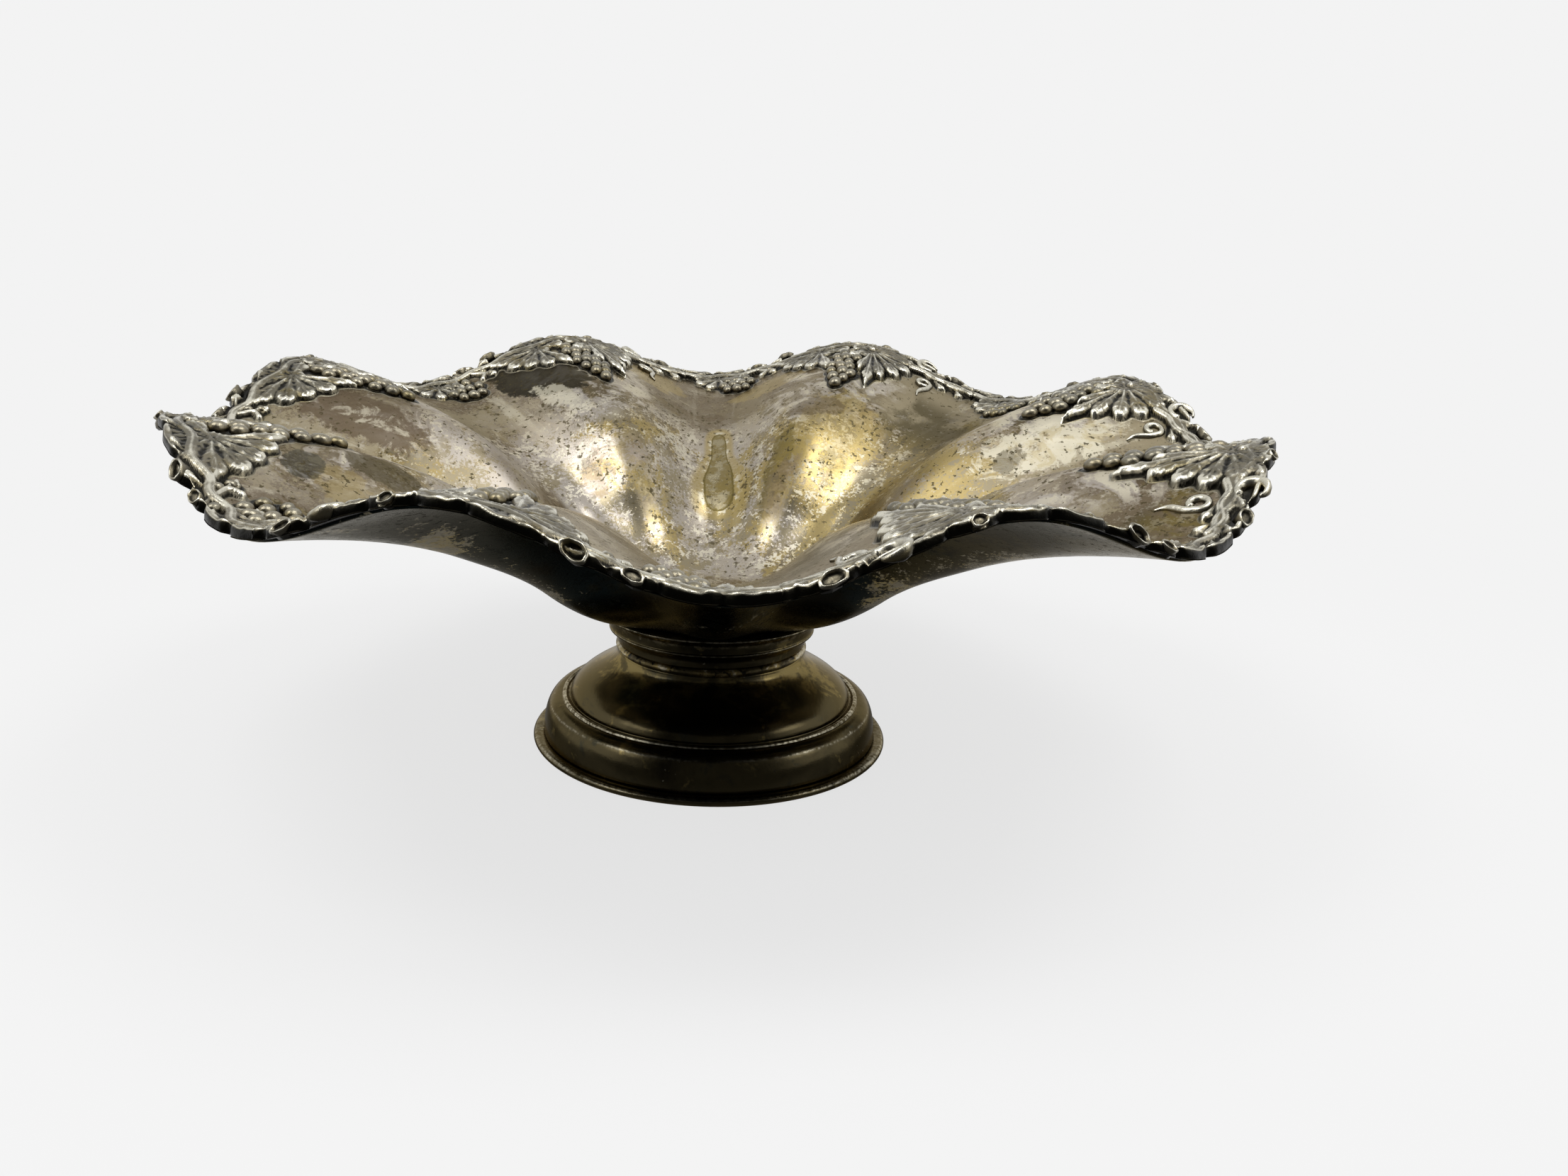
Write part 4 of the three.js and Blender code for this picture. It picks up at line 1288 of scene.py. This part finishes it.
def add_relief(flat, sizes):
    """The height field of a casting as a closed slab, with its outer wall."""
    step = sizes.step / MM
    columns = round(REPEAT / step)
    rows = round((sizes.reach + sizes.overhang) / MM / step)
    bottom = -sizes.bury / MM
    line = np.linspace(FIRST_SEAM, FIRST_SEAM + REPEAT, columns + 1)
    along = np.repeat(line[:, None], rows + 1, 1)
    outer = -sizes.overhang / MM - edge_wave(along)
    inward = outer + np.arange(rows + 1)[None] * step
    height, polish = relief_height(along, inward, sizes.edge_rise / MM)
    top = np.maximum(height, bottom + SLAB_LEAST)
    top[:, 0] -= EDGE_ROUNDING
    polish[:, 0] = EDGE_HIGHLIGHT
    ridges = edge_wave(along[:, 0]) - blurred(edge_wave(along), 5)[:, 0]
    walls = [bottom + share * (top[:, 0] - bottom) for share, _, _ in WALL_SECTION]
    insets = [inward[:, 0] + inset for _, inset, _ in WALL_SECTION]
    # The wall is lighter where the edge swells out: painted highlights.
    shines = [np.clip(shine + 0.5 * (ridges - 0.35), 0, 0.8) for _, _, shine in WALL_SECTION]
    inward[:, 0] += EDGE_ROUNDING
    along = np.column_stack([along[:, : len(walls)], along])
    top = np.column_stack([*walls, top])
    inward = np.column_stack([*insets, inward])
    polish = np.column_stack([*shines, polish])
    shown = top > bottom + KEPT_LEAST
    faces = slab_faces(shown[:-1, :-1] | shown[1:, :-1] | shown[:-1, 1:] | shown[1:, 1:])
    over = np.stack([along, inward, top], -1).reshape(-1, 3)
    under = np.stack([along, inward, np.full_like(top, bottom)], -1).reshape(-1, 3)
    points = np.vstack([over, under])
    polish = np.concatenate([polish.ravel(), np.zeros(top.size)])
    used, renumbered = np.unique(faces, return_inverse=True)
    flat.add(points[used], renumbered.reshape(faces.shape).tolist(), polish[used])


def ring_faces(rings, sides):
    """Quads between rings of points, with the two ends closed."""
    ring, side = np.meshgrid(np.arange(rings - 1), np.arange(sides), indexing="ij")
    here, there = ring * sides + side, ring * sides + (side + 1) % sides
    quads = np.stack([here, there, there + sides, here + sides], -1).reshape(-1, 4).tolist()
    first_end = list(range(sides))[::-1]
    last_end = list(range((rings - 1) * sides, rings * sides))
    return [*quads, first_end, last_end]


def add_cut_end(flat, cut):
    """A branch cut across: a short stem with a bright raised ring and a hollow in its end."""
    tilt = math.radians(cut["tilt"])
    axis = np.array([0, -math.cos(tilt), math.sin(tilt)])
    wide = np.array([cut["stretch"], 0, 0])
    tall = np.array([0, math.sin(tilt), math.cos(tilt)])
    centre = np.array([*cut["place"], CUT_END_RISE])
    turns = np.linspace(0, 2 * math.pi, CUT_END_SIDES, endpoint=False)
    points = []
    polish = []
    for share, out, sunk, rubbed in CUT_END_SECTION:
        radius = max(share, 0.001) * cut["radius"]
        middle = centre + axis * (out - sunk * cut["hollow"])
        uneven = 1 + share * (0.05 * np.sin(3 * turns + cut["place"][0]) + 0.04 * np.sin(7 * turns))
        for turn, k in zip(turns, uneven):
            points.append(middle + radius * k * (wide * math.cos(turn) + tall * math.sin(turn)))
        polish.extend(rubbed * (0.8 + 0.2 * np.sin(4 * turns + cut["place"][0])))
    flat.add(points, ring_faces(len(CUT_END_SECTION), CUT_END_SIDES), np.array(polish))


def add_wire(flat, path, radius, stretch=1.0):
    """A wire along a path of points over the rolled-out rim, drawn out to a point at its end."""
    path = np.array(path, float)
    ahead = np.gradient(path, axis=0)
    ahead /= np.linalg.norm(ahead, axis=1)[:, None]
    side = np.cross(ahead, (0, 0, 1))
    side /= np.linalg.norm(side, axis=1)[:, None]
    up = np.cross(side, ahead)
    turns = np.linspace(0, 2 * math.pi, WIRE_SIDES, endpoint=False)
    taper = radius * np.clip(np.linspace(3.0, 0.25, len(path)), 0, 1)
    across = side[:, None] * np.cos(turns)[:, None]
    above = up[:, None] * np.sin(turns)[:, None] * stretch
    points = path[:, None] + taper[:, None, None] * (across + above)
    # Painted light and shade: the upper side of the wire lighter, the lower side darker.
    rubbed = np.broadcast_to(WIRE_HIGHLIGHT * (0.55 + 0.45 * np.sin(turns)), points.shape[:2]).ravel()
    flat.add(points, ring_faces(len(path), WIRE_SIDES), np.clip(rubbed, 0, 1))


def circle_path(centre, radius, ends, height, climb):
    """Part of a circle over the rolled-out rim, rising by climb; its ends in degrees."""
    turns = np.radians(np.linspace(*ends, CIRCLE_STEPS))
    lift = height + climb * np.linspace(0, 1, len(turns))
    round_points = [centre[0] + radius * np.cos(turns), centre[1] + radius * np.sin(turns)]
    return np.column_stack([*round_points, lift])


def flat_casting(sizes):
    """One casting on the rolled-out rim: relief, cut ends, curl, tendril and grape seats."""
    flat = FlatMesh()
    add_relief(flat, sizes)
    for cut in CUT_ENDS:
        add_cut_end(flat, cut)
    add_wire(flat, circle_path(**CURL), CURL_WIRE, CURL_STRETCH)
    tail = smooth_path(TENDRIL_TAIL)
    tail = np.column_stack([tail, np.full(len(tail), TAIL_HEIGHT)])
    add_wire(flat, np.vstack([circle_path(**TENDRIL), tail]), TENDRIL_WIRE)
    for place, distance, radius in grape_seats():
        flat.add([(place, distance, MOUND + 0.1 * radius)], [], 1.0, radius)
    return flat.mesh("flat_casting")


def turned(name, outline, edges, facets, material):
    """A turned ring from its outline (radius, height), with edges made bright: rubbed wear and painted
    highlight lines.
    """
    outline = np.array(outline, float)
    turns = np.linspace(0, 2 * math.pi, facets, endpoint=False)
    x = outline[:, 0][:, None] * np.sin(turns)
    y = -outline[:, 0][:, None] * np.cos(turns)
    z = np.broadcast_to(outline[:, 1][:, None], x.shape)
    points = np.stack([x, y, z], -1).reshape(-1, 3)
    ring, side = np.meshgrid(np.arange(len(outline)), np.arange(facets), indexing="ij")
    here, there = ring * facets + side, ring * facets + (side + 1) % facets
    size = len(points)
    faces = np.stack([here, there, (there + facets) % size, (here + facets) % size], -1).reshape(-1, 4)
    mesh = bpy.data.meshes.new(name)
    mesh.from_pydata(points.tolist(), [], faces.tolist())
    rubbed = np.repeat(np.array(edges, np.float32), facets)
    mesh.attributes.new("edge", "FLOAT", "POINT").data.foreach_set("value", rubbed)
    mesh.polygons.foreach_set("use_smooth", [True] * len(mesh.polygons))
    mesh.materials.append(material)
    piece = bpy.data.objects.new(name, mesh)
    bpy.context.scene.collection.objects.link(piece)
    return piece


def arc(centre, radius, first, last, steps):
    """Points on part of a circle; angles in degrees."""
    turns = np.radians(np.linspace(first, last, steps))
    return [(centre[0] + radius * math.cos(t), centre[1] + radius * math.sin(t)) for t in turns]


def bezier(points, steps):
    """Points on a Bezier curve of any degree from its control points."""
    share = np.linspace(0, 1, steps)[:, None]
    level = [np.array(point, float)[None] for point in points]
    while len(level) > 1:
        level = [a * (1 - share) + b * share for a, b in zip(level, level[1:])]
    return [tuple(point) for point in level[0]]


# Points on the curves of the turned pieces, and where they are made bright: rubbed wear, with painted
# highlight lines on the ovolo's crest and on the wire.
OVOLO_STEPS = 40
BELL_STEPS = 40
LEDGE_BEAD_STEPS = 12
FOOT_WIRE_STEPS = 12
WAIST_BEAD_STEPS = 14
COVE_STEPS = 16
OVOLO_CREST = round(0.58 * OVOLO_STEPS)
OVOLO_HIGHLIGHT = (0.2, 0.6, 0.2)
FOOT_WIRE_HIGHLIGHT = (0.3, 0.7, 0.7, 0.3, 0.0)
FILLET_SHINE = (0.35, 0.25)
BELL_GAP = 0.15 * MM


def foot_outline(sizes):
    """Outside of the spun foot from its toe to the waist, and where it is made bright: the rubbed ledge
    bead and a painted highlight line on the ovolo's crest.
    """
    toe = WIRE_HIGH.x - sizes.wire_draw_in - sizes.toe_setback
    base = FOOT_LOW.z
    ledge = base + sizes.ovolo_height
    ledge_radius = toe - sizes.ovolo_width
    bead = sizes.bead_radius
    bell = ledge_radius - 2 * bead - sizes.ledge_step
    waist = FOOT_HIGH.z
    ovolo = bezier(((toe, base), (toe, ledge), (ledge_radius, ledge)), OVOLO_STEPS)
    ledge_bead = arc((ledge_radius - bead, ledge), bead, 0, 180, LEDGE_BEAD_STEPS)
    bell_foot = ((bell, ledge), (bell, ledge + sizes.bell_swell))
    bell_neck = ((sizes.waist_radius, waist - sizes.waist_sweep), (sizes.waist_radius, waist))
    rest = [(bell + BELL_GAP, ledge), *bezier((*bell_foot, *bell_neck), BELL_STEPS)]
    edges = [0.0] * len(ovolo) + [1.0] * len(ledge_bead) + [0.0] * len(rest)
    # A painted highlight line on the ovolo's crest, with rubbed wear.
    edges[OVOLO_CREST - 1 : OVOLO_CREST + 2] = OVOLO_HIGHLIGHT
    return [*ovolo, *ledge_bead, *rest], edges


def inset(outline, wall):
    """The outline moved inside by the wall."""
    points = np.array(outline)
    ahead = np.gradient(points, axis=0)
    ahead /= np.linalg.norm(ahead, axis=1)[:, None] + TINY
    return np.column_stack([points[:, 0] - ahead[:, 1] * wall, points[:, 1] + ahead[:, 0] * wall])


def make_foot(sizes, material):
    """The spun foot, open below and at the waist."""
    outline, edges = foot_outline(sizes)
    plain = [point for point, edge in zip(outline, edges) if edge < 1]
    inside = inset(plain, sizes.wall)[::-1]
    inside[0, 1] = FOOT_HIGH.z
    inside[-1, 1] = FOOT_LOW.z
    outline = outline + inside.tolist()
    return turned("foot_shell", outline, edges + [0.0] * len(inside), sizes.facets, material)


def make_wire(sizes, material):
    """The edge wire: flat below, rounded outside."""
    edge = WIRE_HIGH.x - sizes.wire_draw_in
    top = WIRE_HIGH.z
    inside = edge - sizes.toe_setback - sizes.wall - sizes.wire_lip
    middle = (edge + 2 * sizes.wire_draw_in, top / 2)
    rounded = bezier(((edge, 0.0), middle, (edge, top)), FOOT_WIRE_STEPS)
    outline = [(inside, 0.0), *rounded, (inside, top)]
    # A painted highlight line along the top of the wire, with rubbed wear.
    edges = [0.0] * (len(outline) - len(FOOT_WIRE_HIGHLIGHT)) + [*FOOT_WIRE_HIGHLIGHT]
    return turned("foot_edge_wire", outline, edges, sizes.facets, material)


def make_bead(sizes, material):
    """The half-round bead at the waist."""
    low, high = FOOT_HIGH.z, COLLAR_LOW.z
    inside = sizes.waist_radius + sizes.waist_bead_proud - sizes.waist_bead_width
    middle = (sizes.waist_radius + 2 * sizes.waist_bead_proud, (low + high) / 2)
    rounded = bezier(((sizes.waist_radius, low), middle, (sizes.waist_radius, high)), WAIST_BEAD_STEPS)
    outline = [(inside, low), *rounded, (inside, high)]
    return turned("waist_solder_bead", outline, [1.0] * len(outline), sizes.facets, material)


def make_collar(sizes, material):
    """The collar: two coves and fillets up to the flat seat of the bowl."""
    coves = 2
    rise = (COLLAR_HIGH.z - COLLAR_LOW.z) / coves
    flare = sizes.collar_flare / coves
    outline = []
    edges = []
    for i in range(coves):
        radius = sizes.waist_radius + i * flare
        base = COLLAR_LOW.z + i * rise
        edge = base + rise - sizes.fillet_height
        cove = bezier(((radius, base), (radius, edge), (radius + flare, edge)), COVE_STEPS)
        outline += [*cove, (radius + flare, base + rise)]
        edges += [0.0] * (len(cove) - 1) + [*FILLET_SHINE]
    bore = sizes.waist_radius - sizes.wall - sizes.collar_flange
    inner = sizes.waist_radius - sizes.wall
    shelf = COLLAR_HIGH.z - sizes.wall
    inside = [(bore, COLLAR_HIGH.z), (bore, shelf), (inner, shelf - flare), (inner, COLLAR_LOW.z)]
    return turned("stepped_collar", outline + inside, edges + [0.0] * len(inside), sizes.facets, material)


def make_floor(paper, room):
    """A pale floor that keeps the shadow, melts into the background and mirrors dimly near the bowl."""
    bpy.ops.mesh.primitive_plane_add(size=FLOOR_SIZE)
    floor = bpy.context.object
    floor.name = "floor"
    finish = Finish("paper")
    x, y, _ = finish.axes()
    far = (x * x + y * y) ** 0.5
    plain = {"Base Color": (paper, paper, paper, 1), "Roughness": 0.9, "Specular IOR Level": 0.0}
    for name, value in plain.items():
        finish.feed(finish.shader.inputs[name], value)
    path = finish.node("ShaderNodeLightPath")
    mirrored = path.output("Is Glossy Ray")
    shaded = y.between(*FRONT_SHADE).at_least(0.85 * far.between(*NEAR_SHADE))
    lit = finish.blend([paper] * 3, [paper * room] * 3, mirrored * shaded)
    sheet = finish.node("ShaderNodeEmission", None, {"Color": lit, "Strength": 1.0})
    seen = path.output("Is Camera Ray").at_least(mirrored)
    share = seen * (0.8 + 0.2 * far.between(*FLOOR_FADE).at_least(mirrored))
    matt = Wire(finish, finish.shader.outputs[0])
    mixed = finish.node("ShaderNodeMixShader", None, {0: share, 1: matt, 2: sheet})
    finish.feed(finish.tree.nodes["Material Output"].inputs["Surface"], mixed)
    floor.data.materials.append(finish.material)


def make_world(paper, fill, room):
    """An even light. Camera and metal see the pale background, and the metal a dimmer room in front."""
    world = bpy.data.worlds.new("studio")
    bpy.context.scene.world = world
    world.use_nodes = True
    g = Graph(world.node_tree)
    path = g.node("ShaderNodeLightPath")
    _, y, z = g.split(g.node("ShaderNodeTexCoord", output="Generated"))
    front = (ROOM_LEAN * z - y).between(*ROOM_EDGE)
    mirrored = path.output("Is Glossy Ray").at_least(path.output("Is Transmission Ray"))
    shown = paper * (1 - front * (1 - room))
    strength = fill + path.output("Is Camera Ray") * (paper - fill) + mirrored * (shown - fill)
    background = world.node_tree.nodes["Background"]
    g.feed(background.inputs["Color"], (1, 1, 1, 1))
    g.feed(background.inputs["Strength"], strength)


def make_lamp(name, place, size, power):
    """A soft square lamp that faces the bowl."""
    lamp = bpy.data.lights.new(name, "AREA")
    lamp.size = size
    lamp.energy = power
    made = bpy.data.objects.new(name, lamp)
    made.location = place
    made.rotation_euler = (Vector(LAMP_AIM) - Vector(place)).to_track_quat("-Z", "Y").to_euler()
    bpy.context.scene.collection.objects.link(made)


def make_camera(lens):
    """The camera at the photograph's place, with its slight roll."""
    data = bpy.data.cameras.new("camera")
    data.sensor_width = SENSOR_WIDTH
    data.sensor_fit = "HORIZONTAL"
    data.lens = lens
    data.shift_x, data.shift_y = CAMERA_SHIFT
    data.clip_start = CAMERA_NEAR
    made = bpy.data.objects.new("camera", data)
    level_right = Vector((math.cos(CAMERA_TURN), math.sin(CAMERA_TURN), 0))
    level_ahead = Vector((-math.sin(CAMERA_TURN), math.cos(CAMERA_TURN), 0))
    ahead = level_ahead * math.cos(CAMERA_DIP) - Vector((0, 0, math.sin(CAMERA_DIP)))
    above = level_ahead * math.sin(CAMERA_DIP) + Vector((0, 0, math.cos(CAMERA_DIP)))
    right = level_right * math.cos(CAMERA_ROLL) + above * math.sin(CAMERA_ROLL)
    up = above * math.cos(CAMERA_ROLL) - level_right * math.sin(CAMERA_ROLL)
    place = -level_ahead * CAMERA_DISTANCE + Vector((0, 0, CAMERA_HEIGHT))
    axes = Matrix((right, up, -ahead)).transposed().to_4x4()
    made.matrix_world = Matrix.Translation(place) @ axes
    bpy.context.scene.collection.objects.link(made)
    bpy.context.scene.camera = made


def material(name, make, colours):
    """The named material, made once."""
    return bpy.data.materials.get(name) or make(colours)


def shared_sheet():
    """The node group of the fluted sheet, made once."""
    return bpy.data.node_groups.get("Fluted sheet") or fluted_sheet()


def section_run(points):
    """Length of the sheet's section from the floor's edge to the rim."""
    curves = [np.array(bezier([points[name] for name in names], RUN_STEPS)) for names in SECTION_CURVES]
    return float(sum(np.linalg.norm(np.diff(curve, axis=0), axis=1).sum() for curve in curves))


def turned_piece(context, make, finish, node):
    """Makes one of the turned pieces and puts it in its node's place."""
    seated(make(context.scene.centrepiece_foot, finish), node)
    return {"FINISHED"}


def dark_finish(context):
    """The finish that the foot, its wire and the collar share."""
    return material("blackened_spinning", foot_finish, context.scene.centrepiece_colours)


class CENTREPIECE_OT_bowl(bpy.types.Operator):
    """Makes the fluted bowl"""

    bl_idname = "centrepiece.bowl"
    bl_label = "Fluted Bowl"

    def execute(self, context):
        sizes = context.scene.centrepiece_sheet
        finish = material("tarnished_sheet", bowl_finish, context.scene.centrepiece_colours)
        tree = bowl_tree(shared_sheet(), finish)
        values = sheet_values(sizes)
        values["Run"] = section_run(values)
        values["Thickness"] = sizes.thickness
        values["Columns"] = sizes.columns
        values["Rows"] = sizes.rows
        bowl = made_by_nodes("fluted_bowl", bpy.data.meshes.new("bowl"), tree, values)
        seated(bowl, "bowl")
        return {"FINISHED"}


class CENTREPIECE_OT_border(bpy.types.Operator):
    """Makes the castings of the grapevine border"""

    bl_idname = "centrepiece.border"
    bl_label = "Grapevine Border"

    def execute(self, context):
        finish = material("cast_relief", border_finish, context.scene.centrepiece_colours)
        tree = casting_tree(shared_sheet(), finish)
        values = sheet_values(context.scene.centrepiece_sheet)
        flute_turn = 2 * math.pi / len(CASTINGS)
        values["Turn per metre"] = flute_turn / (REPEAT * MM)
        flat = flat_casting(context.scene.centrepiece_border)
        for i, node in enumerate(CASTINGS):
            values["Start"] = SEAM_TURN + FIRST_SEAM / REPEAT * flute_turn - i * flute_turn
            casting = made_by_nodes(node.replace("border", "casting"), flat, tree, values)
            seated(casting, node)
        return {"FINISHED"}


class CENTREPIECE_OT_foot(bpy.types.Operator):
    """Makes the spun foot"""

    bl_idname = "centrepiece.foot"
    bl_label = "Foot"

    def execute(self, context):
        return turned_piece(context, make_foot, dark_finish(context), "foot")


class CENTREPIECE_OT_foot_wire(bpy.types.Operator):
    """Makes the wire round the foot's edge"""

    bl_idname = "centrepiece.foot_wire"
    bl_label = "Foot Wire"

    def execute(self, context):
        return turned_piece(context, make_wire, dark_finish(context), "foot_wire")


class CENTREPIECE_OT_waist_bead(bpy.types.Operator):
    """Makes the bead at the waist"""

    bl_idname = "centrepiece.waist_bead"
    bl_label = "Waist Bead"

    def execute(self, context):
        pitted = material("pitted_solder", bead_finish, context.scene.centrepiece_colours)
        return turned_piece(context, make_bead, pitted, "waist_bead")


class CENTREPIECE_OT_collar(bpy.types.Operator):
    """Makes the stepped collar"""

    bl_idname = "centrepiece.collar"
    bl_label = "Collar"

    def execute(self, context):
        return turned_piece(context, make_collar, dark_finish(context), "collar")


class CENTREPIECE_OT_stage(bpy.types.Operator):
    """Makes the floor, the background, the lamps and the camera"""

    bl_idname = "centrepiece.stage"
    bl_label = "Stage"

    def execute(self, context):
        settings = context.scene.centrepiece_stage
        context.scene.view_settings.view_transform = "Standard"
        make_floor(settings.paper, settings.room)
        make_world(settings.paper, settings.fill, settings.room)
        for name, (place, size, power) in LAMPS.items():
            make_lamp(name, place, size, getattr(settings, power))
        make_camera(settings.lens)
        return {"FINISHED"}


class CENTREPIECE_PT_panel(bpy.types.Panel):
    """Lists the pieces and their sizes"""

    bl_idname = "CENTREPIECE_PT_panel"
    bl_label = "Centrepiece"
    bl_space_type = "VIEW_3D"
    bl_region_type = "UI"
    bl_category = "Centrepiece"

    def draw(self, context):
        for operator in OPERATORS:
            self.layout.operator(operator.bl_idname)
        for name in SETTINGS:
            group = getattr(context.scene, name)
            box = self.layout.box()
            for key in group.__annotations__:
                box.prop(group, key)


SETTINGS = {
    "centrepiece_sheet": SheetSizes,
    "centrepiece_border": BorderSizes,
    "centrepiece_foot": FootSizes,
    "centrepiece_colours": PlateColours,
    "centrepiece_stage": StageSettings,
}
OPERATORS = (
    CENTREPIECE_OT_bowl,
    CENTREPIECE_OT_border,
    CENTREPIECE_OT_foot,
    CENTREPIECE_OT_foot_wire,
    CENTREPIECE_OT_waist_bead,
    CENTREPIECE_OT_collar,
    CENTREPIECE_OT_stage,
)
CLASSES = (*SETTINGS.values(), *OPERATORS, CENTREPIECE_PT_panel)


def register():
    for made in CLASSES:
        bpy.utils.register_class(made)
    for name, group in SETTINGS.items():
        setattr(bpy.types.Scene, name, PointerProperty(type=group))


def unregister():
    for name in SETTINGS:
        delattr(bpy.types.Scene, name)
    for made in reversed(CLASSES):
        bpy.utils.unregister_class(made)


def main():
    register()
    bpy.ops.centrepiece.bowl()
    bpy.ops.centrepiece.border()
    bpy.ops.centrepiece.foot()
    bpy.ops.centrepiece.foot_wire()
    bpy.ops.centrepiece.waist_bead()
    bpy.ops.centrepiece.collar()
    bpy.ops.centrepiece.stage()


if __name__ == "__main__":
    main()
